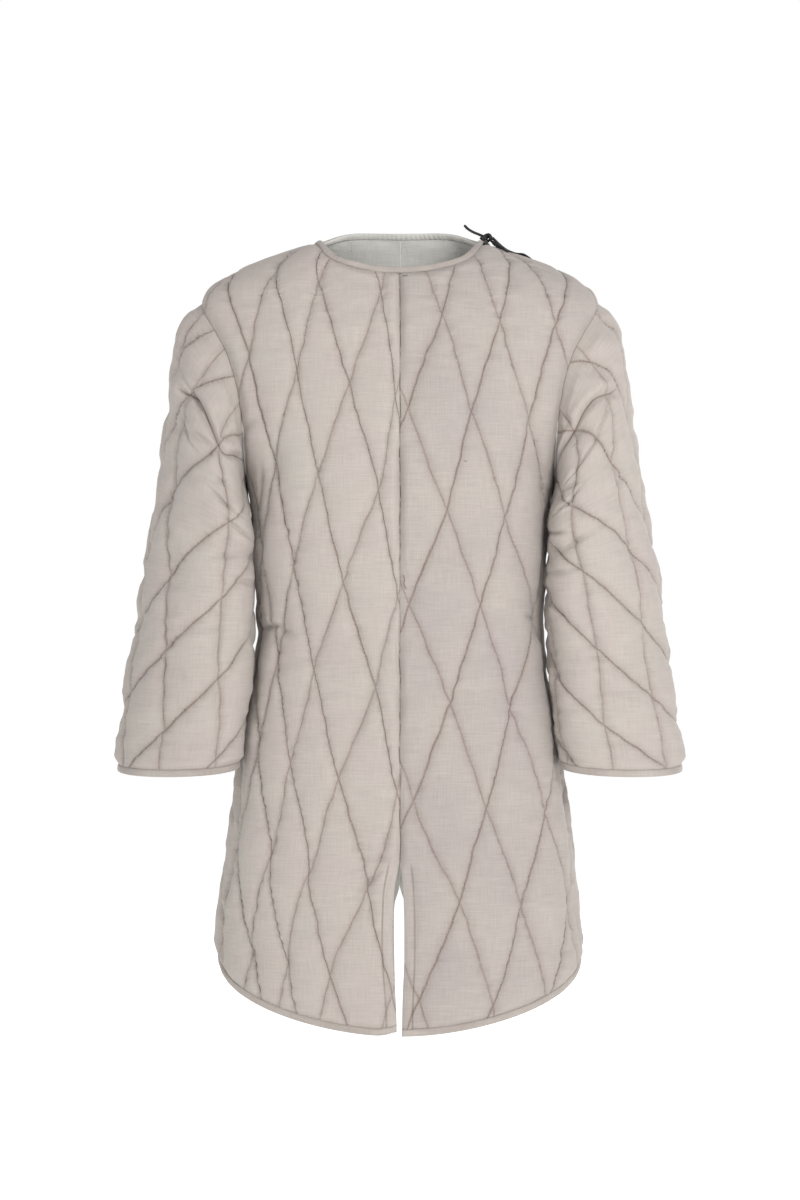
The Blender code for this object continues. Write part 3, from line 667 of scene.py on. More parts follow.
def quilt_relief(quilt, spacing, points):
    """How far the padding stands out between two sets of stitched lines, and how far it is drawn in there."""
    near_first, near_second = [np.abs(lines - np.rint(lines)) * spacing for lines in quilt]
    near = np.minimum(near_first, near_second)
    pillow = (1 - np.exp(-near_first / PUFF_EDGE)) * (1 - np.exp(-near_second / PUFF_EDGE))
    relief = PUFF * (PILLOW_SHARE * pillow + (1 - PILLOW_SHARE) * crown(quilt))
    relief = relief * (1 + layered(points, 51, PUFF_UNEVEN))
    at_crossing = bell(np.hypot(near_first, near_second), CROSSING_REACH)
    relief = relief - GROOVE * bell(near, GROOVE_WIDTH) - CROSSING_PINCH * at_crossing
    pull = np.exp(-near / PUCKER_REACH) + CROSSING_PULL * np.sqrt(at_crossing)
    return relief + PUCKER * layered(points * PUCKER_STRETCH, 52, PUCKER_FOLDS) * pull


def loose_relief(points):
    """The uneven swell of cloth that hangs, longer across than down."""
    return layered(points, 61, LOOSE_SWELLS) + layered(points * LOOSE_STRETCH, 62, LOOSE_FOLDS)


def seam_relief(distance, points, dip=SEAM_DIP):
    """Cloth turned in at a seam, with the seam's own small puckers."""
    ripple = layered(points, 71, SEAM_RIPPLE) * np.exp(-distance / SEAM_RIPPLE_REACH)
    return ripple - dip * bell(distance, SEAM_DIP_WIDTH)


def pinch_relief(distance, beyond):
    """A sharp valley with the padding heaped above it."""
    heap = PINCH_HEAP * bell(distance - PINCH_HEAP_RISE, PINCH_HEAP_WIDTH)
    return bell(beyond, PINCH_FADE) * (heap - PINCH_DEPTH * bell(distance, PINCH_WIDTH))


def slit_relief(across, points):
    """A slit's edge: a flat fold with a row of stitches inside it, which ripple the cloth on both sides."""
    fold = SLIT_FOLD * smooth(*SLIT_FOLD_STARTS, across) * smooth(*SLIT_FOLD_ENDS, across)
    stitches = SLIT_STITCH_DIP * bell(across - SLIT_STITCHES, SLIT_STITCH_WIDTH)
    ripple = layered(points * SLIT_STRETCH, 81, SLIT_RIPPLE)
    ripple = ripple * bell(across - SLIT_RIPPLE_PLACE, SLIT_RIPPLE_REACH)
    return fold - stitches + ripple - SLIT_EDGE_DIP * bell(across, SLIT_EDGE_WIDTH)


def lining_height(relief, quilt, quiet):
    """How far the lining stands from the form. It swells inwards between the lines, under the outer cloth."""
    return np.minimum(-WALL - LINING_SWELL * quiet * crown(quilt), relief - THINNEST)


def flat_size(points):
    """The width, length and area of the flat cut that a grid of rows by columns was made from."""
    across, along = np.diff(points, axis=1)[:-1], np.diff(points, axis=0)[:, :-1]
    area = np.linalg.norm(np.cross(across, along), axis=-1).sum()
    return (float(lengths(points, 1)[:, -1].max()), float(lengths(points, 0)[-1].max())), float(area)


# ---- meshes ----


def mesh_from(bm, name):
    mesh = bpy.data.meshes.new(name)
    bm.to_mesh(mesh)
    bm.free()
    return mesh


def faced_out(bm):
    """Turns the faces of a closed mesh outwards."""
    bmesh.ops.recalc_face_normals(bm, faces=bm.faces)
    if bm.calc_volume(signed=True) < 0:
        bmesh.ops.reverse_faces(bm, faces=bm.faces)


def linked(name, mesh, finishes):
    obj = bpy.data.objects.new(name, mesh)
    bpy.context.scene.collection.objects.link(obj)
    for finish in finishes:
        mesh.materials.append(bpy.data.materials[finish])
    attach(obj, "root")
    return obj


def made_piece(name, bm, place, finishes):
    """Moves a bmesh's points to place(their own coordinates), which also gives the piece's UV maps."""
    first = np.array([vert.co for vert in bm.verts])
    points, maps = place(first)
    for vert, point in zip(bm.verts, points):
        vert.co = point
    faced_out(bm)
    mesh = mesh_from(bm, name)
    corners = np.empty(len(mesh.loops), dtype=np.int32)
    mesh.loops.foreach_get("vertex_index", corners)
    for map_name, values in maps.items():
        layer = mesh.uv_layers.new(name=map_name)
        layer.data.foreach_set("uv", np.asarray(values, dtype=np.float32)[corners].ravel())
    mesh.shade_smooth()
    return linked(name, mesh, finishes)


def padded_grid(columns, rows):
    """A grid with an inner copy joined round its rim: x, y from 0 to 1, and z 0 outside and 1 inside."""
    bm = bmesh.new()
    bmesh.ops.create_grid(bm, x_segments=columns, y_segments=rows, size=0.5)
    bmesh.ops.translate(bm, verts=bm.verts, vec=(0.5, 0.5, 0))
    made = bmesh.ops.extrude_face_region(bm, geom=bm.faces[:], use_keep_orig=True)
    inner = [item for item in made["geom"] if isinstance(item, bmesh.types.BMVert)]
    bmesh.ops.translate(bm, verts=inner, vec=(0, 0, 1))
    inner = set(inner)
    for face in bm.faces:
        inside = [vert in inner for vert in face.verts]
        face.material_index = int(all(inside))
        face.tag = any(inside) and not all(inside)
    for edge in bm.edges:
        edge.smooth = len({face.tag for face in edge.link_faces}) == 1
    return bm


def tube_grid(along, around):
    """A capped tube: x runs from 0 to 1 round it and y from 0 to 1 along it."""
    bm = bmesh.new()
    line = [bm.verts.new((1, 0, row / along)) for row in range(along + 1)]
    edges = [bm.edges.new(pair) for pair in zip(line, line[1:])]
    bmesh.ops.spin(
        bm, geom=line + edges, axis=(0, 0, 1), cent=(0, 0, 0), angle=2 * np.pi, steps=around, use_merge=True
    )
    bmesh.ops.holes_fill(bm, edges=bm.edges, sides=0)
    for vert in bm.verts:
        turn = np.arctan2(vert.co.y, vert.co.x) / (2 * np.pi) % 1
        vert.co = (0.0 if turn > 1 - NEARLY else turn, vert.co.z, 0)
    return bm


def lengths(points, axis):
    """How far along the cloth each point of a grid is, from the first on that axis."""
    steps = np.linalg.norm(np.diff(points, axis=axis), axis=-1)
    start = np.zeros_like(np.take(steps, [0], axis=axis))
    return np.concatenate([start, np.cumsum(steps, axis=axis)], axis=axis)


def make_padded(name, finishes, base, out, shift, heights, maps, mirror):
    """A wadded sheet on a grid of the form. Its cloth and its lining stand square to it by two heights."""
    rows, columns = base.shape[0] - 1, base.shape[1] - 1

    def place(first):
        row, col = np.rint(first[:, 1] * rows).astype(int), np.rint(first[:, 0] * columns).astype(int)
        outer, inner = [height[row, col] for height in heights]
        height = np.where(first[:, 2] > 0.5, inner, outer)[:, None]
        points = base[row, col] + out[row, col] * height + shift[row, col]
        spread = {key: np.stack([values[row, col] for values in pair], axis=-1) for key, pair in maps.items()}
        return points * mirror, spread

    obj = made_piece(name + "_cloth", padded_grid(columns, rows), place, finishes)
    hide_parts(name)
    flat, area = flat_size(base)
    return obj


def make_panel(part, side):
    panel = part + ("_left" if side > 0 else "_right")
    angles, heights = panel_places(part, side)
    base, out = body(angles, heights), square_to(body, angles, heights)
    across, along = lengths(base, 1), lengths(base, 0)
    from_side, from_hem = across[:, -1:] - across, along[-1:] - along

    quilt = body_quilting(panel, base, across, heights)
    padding = quilt_relief(quilt, BODY_LINE_SPACING, base) + loose_relief(base)
    slit = smooth(SLIT_TOP[part], SLIT_TOP[part] - SLIT_FADE, heights)
    beside_arm = smooth(UNDERARM_Z, UNDERARM_Z + UNDERARM_FADE, heights)
    beside_arm = beside_arm * smooth(SHOULDER_TIP_Z + YOKE_FADE, SHOULDER_TIP_Z, heights)
    armhole = base[YOKE_ROWS:YOKE_ROWS + ARMHOLE_ROWS:ARMHOLE_STEP, -1]
    from_arm = np.min([np.linalg.norm(base - point, axis=-1) for point in armhole], axis=0)
    quiet = smooth(0.0, CENTRE_QUIET, across) * (1 - slit) + smooth(*SLIT_QUIET, across) * slit
    quiet = quiet * smooth(*ARMHOLE_QUIET, from_arm)
    for distance in (from_side, along, from_hem):
        quiet = quiet * smooth(0.0, SEAM_QUIET, distance)
    under_arm = bell(from_side, UNDER_ARM_REACH) * bell(heights - UNDER_ARM_Z, UNDER_ARM_REACH)
    creases = CREASE_STRENGTH["body"] * fold_depth(CREASES, FOLD_RADIUS, angles, heights)
    relief = padding * quiet * (1 - UNDER_ARM_FLAT * under_arm)
    relief = relief - creases * smooth(0, CREASE_QUIET["body"], from_side)
    side_dip = SEAM_DIP + (ARMHOLE_DIP - SEAM_DIP) * beside_arm
    for distance, dip in ((from_side, side_dip), (along, SEAM_DIP), (from_hem, SEAM_DIP)):
        relief = relief + seam_relief(distance, base, dip) * (1 - UNDER_ARM_SEAM_FLAT * under_arm)
    relief = relief + seam_relief(across, base) * (1 - slit) + slit_relief(across, base) * slit

    # the centre seam wanders a little from side to side
    wander = layered(base * (0, 0, 1.0), 82, CENTRE_WANDER)
    wander = wander * np.exp(-across / CENTRE_WANDER_REACH) * (1 - slit)
    # a slit's own edge is no seam, so its distance is made too long to get a seam's painted shadow
    seam = np.minimum(np.minimum(from_side, along), np.minimum(from_hem, across + NO_SEAM * slit))
    maps = {
        "cloth": (side * across, heights),
        "quilt": quilt,
        "seam": (seam, 0 * seam),
        "fold": (across - SLIT_STITCHES, SLIT_LINE_STRENGTH * slit),
    }
    finishes = ("pinkish_cotton" if side > 0 else "plain_cotton", "cotton_lining")
    both = relief, lining_height(relief, quilt, quiet)
    return make_padded(panel, finishes, base, out, wander[..., None] * (1, 0, 0), both, maps, (1, 1, 1))


def sleeve_turns(count):
    """Turns from one edge of a sleeve's seam, round the arm, to the other."""
    half_gap = SEAM_GAP / 2 / SLEEVE_RADIUS
    return np.linspace(-np.pi + half_gap, np.pi - half_gap, count)


def make_sleeve(side):
    name = "left" if side > 0 else "right"
    turns = sleeve_turns(SLEEVE_AROUND + 1)
    turn, reach = np.meshgrid(turns, np.linspace(0, 1, SLEEVE_ALONG + 1) ** SLEEVE_ROWS_CURVE * CUFF_REACH)
    sleeve = sleeve_on(side)
    base, out = sleeve(turn, reach), square_to(sleeve, turn, reach)
    # at the armhole the sleeve stands square to the body's cloth, and it soon turns to its own
    own = smooth(0, SLEEVE_OWN_REACH, reach)[..., None]
    out = armhole_places(turn, side)[1] * (1 - own) + out * own
    out = out / np.linalg.norm(out, axis=-1, keepdims=True)
    around, along = lengths(base, 1), lengths(base, 0)
    arc = np.array([np.interp(QUARTER, turns, row) for row in around])[:, None] - around
    from_seam = np.minimum(around, around[:, -1:] - around)
    from_cuff = along[-1:] - along
    down_front = along[:, [np.argmin(np.abs(turns - QUARTER))]] + 0 * arc

    quilt = sleeve_quilting(name, base, arc, down_front)
    pinch, beyond = pinch_distance(name, base, arc, down_front)
    apart = base + (SLEEVE_APART * side, 0, 0)
    padding = SLEEVE_PUFF * quilt_relief(quilt, SLEEVE_LINE_SPACING, apart)
    padding = padding + SLEEVE_SWELL * loose_relief(apart)
    padding = padding * (1 - bell(pinch, PINCH_FLAT) * bell(beyond, PINCH_FADE))
    quiet = smooth(0, ARMHOLE_QUIET[1], along)
    for distance in (from_cuff, from_seam):
        quiet = quiet * smooth(0, SEAM_QUIET, distance)
    under_arm = bell(np.abs(turn) - np.pi, SLEEVE_UNDER_ARM["turn"])
    under_arm = under_arm * bell(np.clip(reach - SLEEVE_UNDER_ARM["down"], 0, None), SLEEVE_UNDER_ARM["fade"])
    relief = (padding + pinch_relief(pinch, beyond)) * quiet * (1 - UNDER_ARM_FLAT * under_arm)
    creases = CREASE_STRENGTH["sleeve"] * fold_depth(SLEEVE_CREASES[name], SLEEVE_FOLD_RADIUS, turn, reach)
    relief = relief - creases * smooth(0, CREASE_QUIET["sleeve"], along)
    # the sleeve's head is eased into the armhole, which leaves short gathers below the seam
    gathers = layered(np.stack([arc, 0 * arc, along * GATHERS_STRETCH], axis=-1), 91 + side, GATHERS)
    relief = relief + gathers * np.exp(-along / GATHERS_REACH) * (1 - under_arm)
    for distance, dip in ((along, ARMHOLE_DIP), (from_cuff, SEAM_DIP), (from_seam, SEAM_DIP)):
        relief = relief + seam_relief(distance, base, dip)
    # the sleeve's edge is turned in under the body's
    tuck = np.zeros_like(base)
    tuck[0] = (base[0] - base[1]) * EDGE_TUCK_SHARE - out[0] * EDGE_TUCK
    seam = np.minimum(np.minimum(along, from_cuff), from_seam)
    maps = {
        "cloth": (side * arc, -down_front),
        "quilt": quilt,
        "seam": (seam, 0 * seam),
        "fold": (pinch, bell(beyond, PINCH_LINE_FADE)),
    }
    make_padded(
        "sleeve_" + name, ("sleeve_cotton", "cotton_lining"),
        base, out, tuck, (relief, lining_height(relief, quilt, quiet)), maps, (side, 1, 1),
    )


BINDING_AROUND = 20
BINDING_THICKNESS = 0.0056
BINDING_START = -0.0008
BINDING_SHOWN = 0.0082
BINDING_MIDDLE = -0.0026
# a roll's section is between a circle (1) and a box (0)
BINDING_ROUNDNESS = 0.78
# puckers slant round the roll, lean one way and the other, and come and go
BINDING_PUCKER, BINDING_PUCKER_PITCH, BINDING_TWIST = 0.00062 * 0.6, 0.0066, 1.1
BINDING_LEAN, BINDING_FADING, BINDING_UNEVEN = ((2.2, 0.021),), ((1.0, 0.034),), ((0.0005, 0.012),)
LINING_SHARES = (0.01, 0.52)
BINDING_CLOTH_WIDTH = 0.026
NECK_POINTS = 420
CUFF_POINTS = 170


def binding_points(place, first, seams, direction, share, count, seed):
    """Points of a rolled strip past a seam. The share runs from 0 to 1 round it, from its hidden side."""
    turn = 2 * np.pi * share + np.pi
    outwards, upwards = [
        np.sign(part) * np.abs(part) ** BINDING_ROUNDNESS for part in (np.cos(turn), np.sin(turn))
    ]
    distance = BINDING_START + (BINDING_SHOWN - BINDING_START) / 2 * (1 + outwards)
    spot = np.stack([count, 4 * share, 0 * count], axis=-1)
    lean = layered(spot * (1, 0, 0), seed, BINDING_LEAN)
    twist = np.sin(2 * np.pi * (count / BINDING_PUCKER_PITCH + BINDING_TWIST * share) + lean)
    pucker = BINDING_PUCKER * twist * (1 + layered(spot * (1, 0, 0), seed + 1, BINDING_FADING))
    pucker = pucker + layered(spot * (1, 0.0015, 0), seed + 2, BINDING_UNEVEN)
    height = BINDING_MIDDLE + (BINDING_THICKNESS / 2 + pucker) * upwards
    second = seams + direction * step_for(place, first, seams, distance)
    return place(first, second) + square_to(place, first, second) * height[:, None]


def make_binding(name, place, first, seams, direction, side, seed):
    """A strip rolled over an edge from one end to the other, at arrays of places on that edge's seam."""
    along = lengths(place(first, seams), 0)
    count = len(first) - 1

    def moved(corner):
        at = np.rint(corner[:, 1] * count).astype(int)
        points = binding_points(place, first[at], seams[at], direction, corner[:, 0], along[at], seed)
        cloth = np.stack([along[at], corner[:, 0] * BINDING_CLOTH_WIDTH], axis=-1)
        return points * (side, 1, 1), {"cloth": cloth}

    bm = tube_grid(count, BINDING_AROUND)
    if name == "neck_binding":
        for face in bm.faces:
            shares = [vert.co.x for vert in face.verts]
            # the half of the roll that faces inwards is the lining's own turned edge
            face.material_index = int(min(shares) > LINING_SHARES[0] and max(shares) < LINING_SHARES[1])
    obj = made_piece(name + "_roll", bm, moved, ("rolled_cotton", "rolled_lining"))
    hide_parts(name)


def make_neck_binding():
    """From the front edge of the left shoulder's opening, round the neck, to its back edge."""
    opening = SHOULDER_OPENING / 2 / body_size("front", np.array([0.0]))[0]
    angles = np.linspace(QUARTER - opening, -3 * QUARTER + opening, NECK_POINTS)
    edge = neck_z(angles)
    seams = edge - step_for(body, angles, edge, BINDING_WIDTH)
    make_binding("neck_binding", body, angles, seams, 1, 1, 101)


def make_hem_binding(side):
    """From the front slit, round the side, to the back slit."""
    front, back = [panel_places(part, side) for part in ("front", "back")]
    angles = np.concatenate([front[0][-1][:-1], [side * QUARTER], back[0][-1][-2::-1]])
    seams = np.concatenate([front[1][-1], back[1][-1][-2::-1]])
    name = "hem_binding" + ("_left" if side > 0 else "_right")
    make_binding(name, body, angles, seams, -1, 1, 111 + side)


def make_cuff_binding(side):
    turns = sleeve_turns(CUFF_POINTS)
    name = "cuff_binding" + ("_left" if side > 0 else "_right")
    make_binding(name, sleeve_on(side), turns, CUFF_REACH + 0 * turns, 1, side, 121 + side)


# ---- the lace ----


def smooth_route(points, step):
    """Points a step apart on a smooth curve through the route's own points."""
    points = np.array(points)
    at_points = lengths(points, 0)
    at = np.linspace(0, at_points[-1], int(np.ceil(at_points[-1] / step)) + 1)
    return np.stack([through(at_points, points[:, axis], at) for axis in range(3)], axis=-1)


def add_tube(bm, route, diameter, around, relief):
    """Adds a tube along a route, with relief(along, share round) metres on its radius."""
    made = tube_grid(len(route) - 1, around)
    corner = np.array([vert.co for vert in made.verts])
    at = np.rint(corner[:, 1] * (len(route) - 1)).astype(int)
    heading = np.gradient(route, axis=0)
    heading /= np.linalg.norm(heading, axis=-1, keepdims=True)
    side = np.cross(heading, (0.0, 0.0, 1.0) if abs(heading[:, 2]).max() < 0.98 else (0.0, 1.0, 0.0))
    side /= np.linalg.norm(side, axis=-1, keepdims=True)
    up = np.cross(side, heading)
    turn = 2 * np.pi * corner[:, 0]
    radius = diameter / 2 + relief(lengths(route, 0)[at], corner[:, 0])
    radius = radius * np.where(np.minimum(at, len(route) - 1 - at) == 0, TUBE_END, 1.0)
    points = route[at] + (side[at] * np.cos(turn)[:, None] + up[at] * np.sin(turn)[:, None]) * radius[:, None]
    for vert, point in zip(made.verts, points):
        vert.co = point
    faced_out(made)
    mesh = mesh_from(made, "tube")
    bm.from_mesh(mesh)
    bpy.data.meshes.remove(mesh)


def make_tubes(name, routes, diameter, around, relief, finish):
    """One piece made of a tube along each route."""
    bm = bmesh.new()
    for route in routes:
        add_tube(bm, route, diameter, around, relief)
    mesh = mesh_from(bm, name)
    mesh.shade_smooth()
    return linked(name, mesh, (finish,))


def braid(along, share):
    """The crossing strands of a braided lace."""
    one, other = [np.cos(2 * np.pi * (3 * share + way * along / BRAID_PITCH)) for way in (1, -1)]
    return BRAID_HEIGHT * np.maximum(one, other) - BRAID_SUNK


def plain_tube(along, share):
    return 0 * along


def on_front(places, height):
    """Points a height off the front's cloth, for places (x, z) beside the left shoulder's opening."""
    x, z = np.array(places).T
    angle = np.arcsin(np.clip(x / body_size("half_width", z), -0.999, 0.999))
    return body(angle, z) + square_to(body, angle, z) * height


def make_laces():
    """The bow over the shoulder opening: its knot, one loop and the free ends."""
    knot_routes = []
    turn = np.linspace(0, 2 * np.pi, KNOT_POINTS)
    for radius, lean, shift, sway in KNOT_RINGS:
        x = shift + lean * radius * np.cos(turn) + sway * np.sin(turn)
        wrap = np.stack([x, radius * np.cos(turn), KNOT_FLATNESS * radius * np.sin(turn)], axis=-1)
        knot_routes.append(wrap + KNOT_CENTRE)
    for points in KNOT_TURNS:
        knot_routes.append(smooth_route(points, ROUTE_STEP) + KNOT_CENTRE)
    # from the knot the lace goes down to its eyelet in the front's edge, and comes out of a ring of stitches
    knot_routes.append(smooth_route(on_front(LACE_DOWN, LACE_LIFT), ROUTE_STEP))
    turn = np.linspace(0, 2 * np.pi, EYELET_POINTS)
    for x, z, radius in EYELETS:
        ring = np.stack([x + radius * np.cos(turn), z + EYELET_FLATNESS * radius * np.sin(turn)], axis=-1)
        knot_routes.append(on_front(ring, EYELET_LIFT))
    knot = make_tubes("lace_knot_wraps", knot_routes, KNOT_LACE, LACE_AROUND, braid, "braided_lace")
    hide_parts("lace_knot")
    for name, points in LACES.items():
        route = smooth_route(points, ROUTE_STEP)
        lace = make_tubes(name + "_braid", [route], LACE_DIAMETER, LACE_AROUND, braid, "braided_lace")
        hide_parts(name)
        float(lengths(route, 0)[-1])


def make_loose_threads(front):
    """Ends of sewing thread left on the front: one at the neck's centre, and two small hooks at the waist."""
    routes = []
    for points in LOOSE_THREADS:
        route = []
        for x, z in smooth_route([(x, z, 0) for x, z in points], THREAD_STEP)[:, :2]:
            hit, place, out, _ = front.ray_cast((x, -1, z), (0, 1, 0))
            if not hit:
                raise RuntimeError("a loose thread misses the front's cloth")
            route.append(place + THREAD_LIFT * out)
        routes.append(np.array(route))
    threads = make_tubes("loose_threads", routes, THREAD_DIAMETER, THREAD_AROUND, plain_tube, "sewing_thread")


# ---- materials ----

MATH = "ShaderNodeMath"
LINE_HALF_WIDTH, LINE_SHADE, STITCH_LENGTH = 0.0017, 0.012, 0.0036
# half widths of the painted shadow lines at seams and at folds
SEAM_HALF_WIDTH, FOLD_HALF_WIDTH = 0.0011, 0.0017
# (width, length) of the thicker stretches of thread, up and down and across
SLUBS = ((0.0011, 0.030), (0.034, 0.0013))
def linear(hex_colour):
    """A colour's sRGB hex value as the linear numbers that a shader takes."""
    parts = [int(hex_colour[i:i + 2], 16) / 255 for i in (1, 3, 5)]
    return (*[part / 12.92 if part <= 0.04045 else ((part + 0.055) / 1.055) ** 2.4 for part in parts], 1.0)


def add_node(tree, kind, settings=(), links=()):
    """Adds a node, sets its properties and input values, and links its inputs from other outputs."""
    node = tree.nodes.new(kind)
    for name, value in dict(settings).items():
        if isinstance(name, str) and hasattr(node, name):
            setattr(node, name, value)
        else:
            node.inputs[name].default_value = value
    for name, output in dict(links).items():
        tree.links.new(output, node.inputs[name])
    return node


def chained(tree, kind, value, steps):
    """Puts a value through a row of nodes of one kind, as (operation, inputs). Lower case is clamped."""
    for operation, *others in steps:
        settings, links = {"operation": operation.upper(), "use_clamp": operation.islower()}, {0: value}
        for index, other in enumerate(others, 1):
            (links if hasattr(other, "is_linked") else settings)[index] = other
        value = add_node(tree, kind, settings, links).outputs[0]
    return value


def line_mask(tree, across, along, spacing, side):
    """1 on a stitched line, fading at its edge and weaker between two stitches, and a wider 1 near it, which
    paints shade beside the line.
    """
    distance = chained(tree, MATH, across, [("WRAP", 0.5, -0.5), ("ABSOLUTE",), ("MULTIPLY", spacing)])
    turns = 2 * np.pi * side / STITCH_LENGTH
    stitches = chained(tree, MATH, along, [("MULTIPLY", turns), ("SINE",), ("MULTIPLY_ADD", 0.22, 0.78)])
    edge = ("multiply_add", -1 / LINE_HALF_WIDTH, 1.0)
    line = chained(tree, MATH, distance, [edge, ("MULTIPLY", stitches)])
    return line, chained(tree, MATH, distance, [("multiply_add", -1 / LINE_SHADE, 1.0), ("POWER", 2.0)])


def plain_weave(tree, cloth, thread):
    """Bump height of a plain weave, and the unevenness of its threads."""
    parts = add_node(tree, "ShaderNodeSeparateXYZ", {}, {0: cloth}).outputs[:2]
    warp, weft = [chained(tree, MATH, part, [("MULTIPLY", np.pi / thread), ("SINE",)]) for part in parts]
    slubs = []
    for width, length in SLUBS:
        stretched = add_node(
            tree, "ShaderNodeMapping", {"Scale": (1 / width, 1 / length, 1.0)}, {"Vector": cloth}
        )
        slubs.append(add_node(
            tree, "ShaderNodeTexNoise", {"noise_dimensions": "2D", "Scale": 1.0, "Detail": 2.0},
            {"Vector": stretched.outputs[0]},
        ).outputs[0])
    return chained(tree, MATH, warp, [("MULTIPLY", weft)]), chained(tree, MATH, slubs[0], [("ADD", slubs[1])])


def new_material(name, values):
    """Makes a material and sets its shader's values. Returns its node tree and its shader."""
    made = bpy.data.materials.new(name)
    made.use_nodes = True
    shader = made.node_tree.nodes["Principled BSDF"]
    for key, value in values.items():
        shader.inputs[key].default_value = value
    return made.node_tree, shader


def cotton(name, colours, thread_and_shade_colour, seam_shadow_colour, thread, lines=None, line_strength=0.58, wrinkle=0.0013):
    """Unbleached plain-woven cotton: matt, a little sheen from its fuzz, and uneven threads. Given lines, it
    also gets their thread colour with painted groove shade, and painted shadow at seams and folds.
    """
    tree, shader = new_material(name, {
        "Roughness": 0.92, "Specular IOR Level": 0.28, "Sheen Weight": 0.16, "Sheen Roughness": 0.45,
    })
    cloth = add_node(tree, "ShaderNodeUVMap", {"uv_map": "cloth"}).outputs[0]

    patches = add_node(
        tree, "ShaderNodeTexNoise", {"noise_dimensions": "2D", "Scale": 11.0, "Detail": 3.0},
        {"Vector": cloth},
    )
    patch_share = chained(tree, MATH, patches.outputs[0], [("multiply_add", 2.86, -1.0)])
    plain, cast = [linear(colour) for colour in colours]
    ground = add_node(tree, "ShaderNodeMix", {"data_type": "RGBA", 6: plain, 7: cast}, {0: patch_share})
    weave, slub = plain_weave(tree, cloth, thread)
    toned = chained(tree, MATH, slub, [("MULTIPLY_ADD", 0.20, 0.80)])
    colour_out = add_node(
        tree, "ShaderNodeVectorMath", {"operation": "SCALE"}, {0: ground.outputs[2], "Scale": toned}
    ).outputs[0]

    wrinkled = add_node(tree, "ShaderNodeMapping", {"Scale": (55.0, 150.0, 1.0)}, {"Vector": cloth})
    height = add_node(
        tree, "ShaderNodeTexNoise",
        {"noise_dimensions": "2D", "Scale": 1.0, "Detail": 4.0, "Roughness": 0.55},
        {"Vector": wrinkled.outputs[0]},
    ).outputs[0]
    if lines:
        spacing, side = lines
        quilt, seam, fold = [
            add_node(tree, "ShaderNodeUVMap", {"uv_map": uv_map}).outputs[0]
            for uv_map in ("quilt", "seam", "fold")
        ]
        one, other = add_node(tree, "ShaderNodeSeparateXYZ", {}, {0: quilt}).outputs[:2]
        drawn, near = line_mask(tree, one, other, spacing, side)
        drawn_too, near_too = line_mask(tree, other, one, spacing, side)
        # one set of lines was sewn over the other and pulled tighter, so its painted groove shade is darker
        line = chained(tree, MATH, drawn, [("MULTIPLY", 0.66), ("MAXIMUM", drawn_too)])
        near = chained(tree, MATH, near, [("MAXIMUM", near_too)])
        # a line's painted shade is darker or fainter at random, as if the cloth rolled into it here and lay
        # flat there
        depths = add_node(
            tree, "ShaderNodeTexNoise", {"noise_dimensions": "2D", "Scale": 24.0, "Detail": 2.0},
            {"Vector": cloth},
        )
        depth = chained(tree, MATH, depths.outputs[0], [("multiply_add", 1.9, -0.35)])
        strength = chained(
            tree, MATH, depth, [("MULTIPLY_ADD", 0.5, 0.5), ("MULTIPLY", line), ("MULTIPLY", line_strength)]
        )
        # a little painted shade beside each line, and the line's thread colour with the groove's painted
        # shade
        share = chained(tree, MATH, near, [("MULTIPLY", 0.13), ("add", strength)])
        colour_out = add_node(
            tree, "ShaderNodeMix", {"data_type": "RGBA", 7: linear(thread_and_shade_colour)}, {0: share, 6: colour_out}
        ).outputs[2]
        # painted shadow in the seams, along the slit's stitched row and the sleeves' pinched folds, darker or
        # fainter at random
        from_seam = add_node(tree, "ShaderNodeSeparateXYZ", {}, {0: seam}).outputs[0]
        from_fold, fold_strength = add_node(tree, "ShaderNodeSeparateXYZ", {}, {0: fold}).outputs[:2]
        at_seam = chained(tree, MATH, from_seam, [("multiply_add", -1 / SEAM_HALF_WIDTH, 1.0)])
        at_fold = chained(tree, MATH, from_fold, [
            ("ABSOLUTE",), ("multiply_add", -1 / FOLD_HALF_WIDTH, 1.0), ("MULTIPLY", fold_strength),
        ])
        dark = chained(tree, MATH, depth, [("MULTIPLY_ADD", 0.4, 0.45)])
        seam_shadow_share = chained(tree, MATH, at_seam, [("MAXIMUM", at_fold), ("multiply", dark)])
        colour_out = add_node(
            tree, "ShaderNodeMix", {"data_type": "RGBA", 7: linear(seam_shadow_colour)},
            {0: seam_shadow_share, 6: colour_out},
        ).outputs[2]
        pulled = chained(tree, MATH, near, [("MULTIPLY_ADD", 1.8, 0.55), ("MULTIPLY", height)])
        height = chained(tree, MATH, line, [("MULTIPLY_ADD", -1.1, pulled)])
    folds = add_node(tree, "ShaderNodeBump", {"Distance": wrinkle, "Strength": 1.0}, {"Height": height})
    threads = add_node(
        tree, "ShaderNodeBump", {"Distance": 0.00010, "Strength": 1.0},
        {"Height": weave, "Normal": folds.outputs[0]},
    )
    tree.links.new(colour_out, shader.inputs["Base Color"])
    tree.links.new(threads.outputs[0], shader.inputs["Normal"])
def fibre_shade(tree, scale, detail, dark, light):
    """A fine mottle of fibres, as a share, and as a colour between a dark and a light one."""
    place = add_node(tree, "ShaderNodeTexCoord").outputs["Object"]
    fibres = {"Scale": scale, "Detail": detail}
    fibre = add_node(tree, "ShaderNodeTexNoise", fibres, {"Vector": place}).outputs[0]
    colours = {"data_type": "RGBA", 6: linear(dark), 7: linear(light)}
    return fibre, add_node(tree, "ShaderNodeMix", colours, {0: fibre}).outputs[2]


def thread_material():
    """Spun cotton sewing thread: brown with dirt, matt."""
    tree, shader = new_material("sewing_thread", {"Roughness": 0.85})
    _, shade = fibre_shade(tree, 900.0, 2.0, "#6A5A4C", "#8D7C6C")
    tree.links.new(shade, shader.inputs["Base Color"])


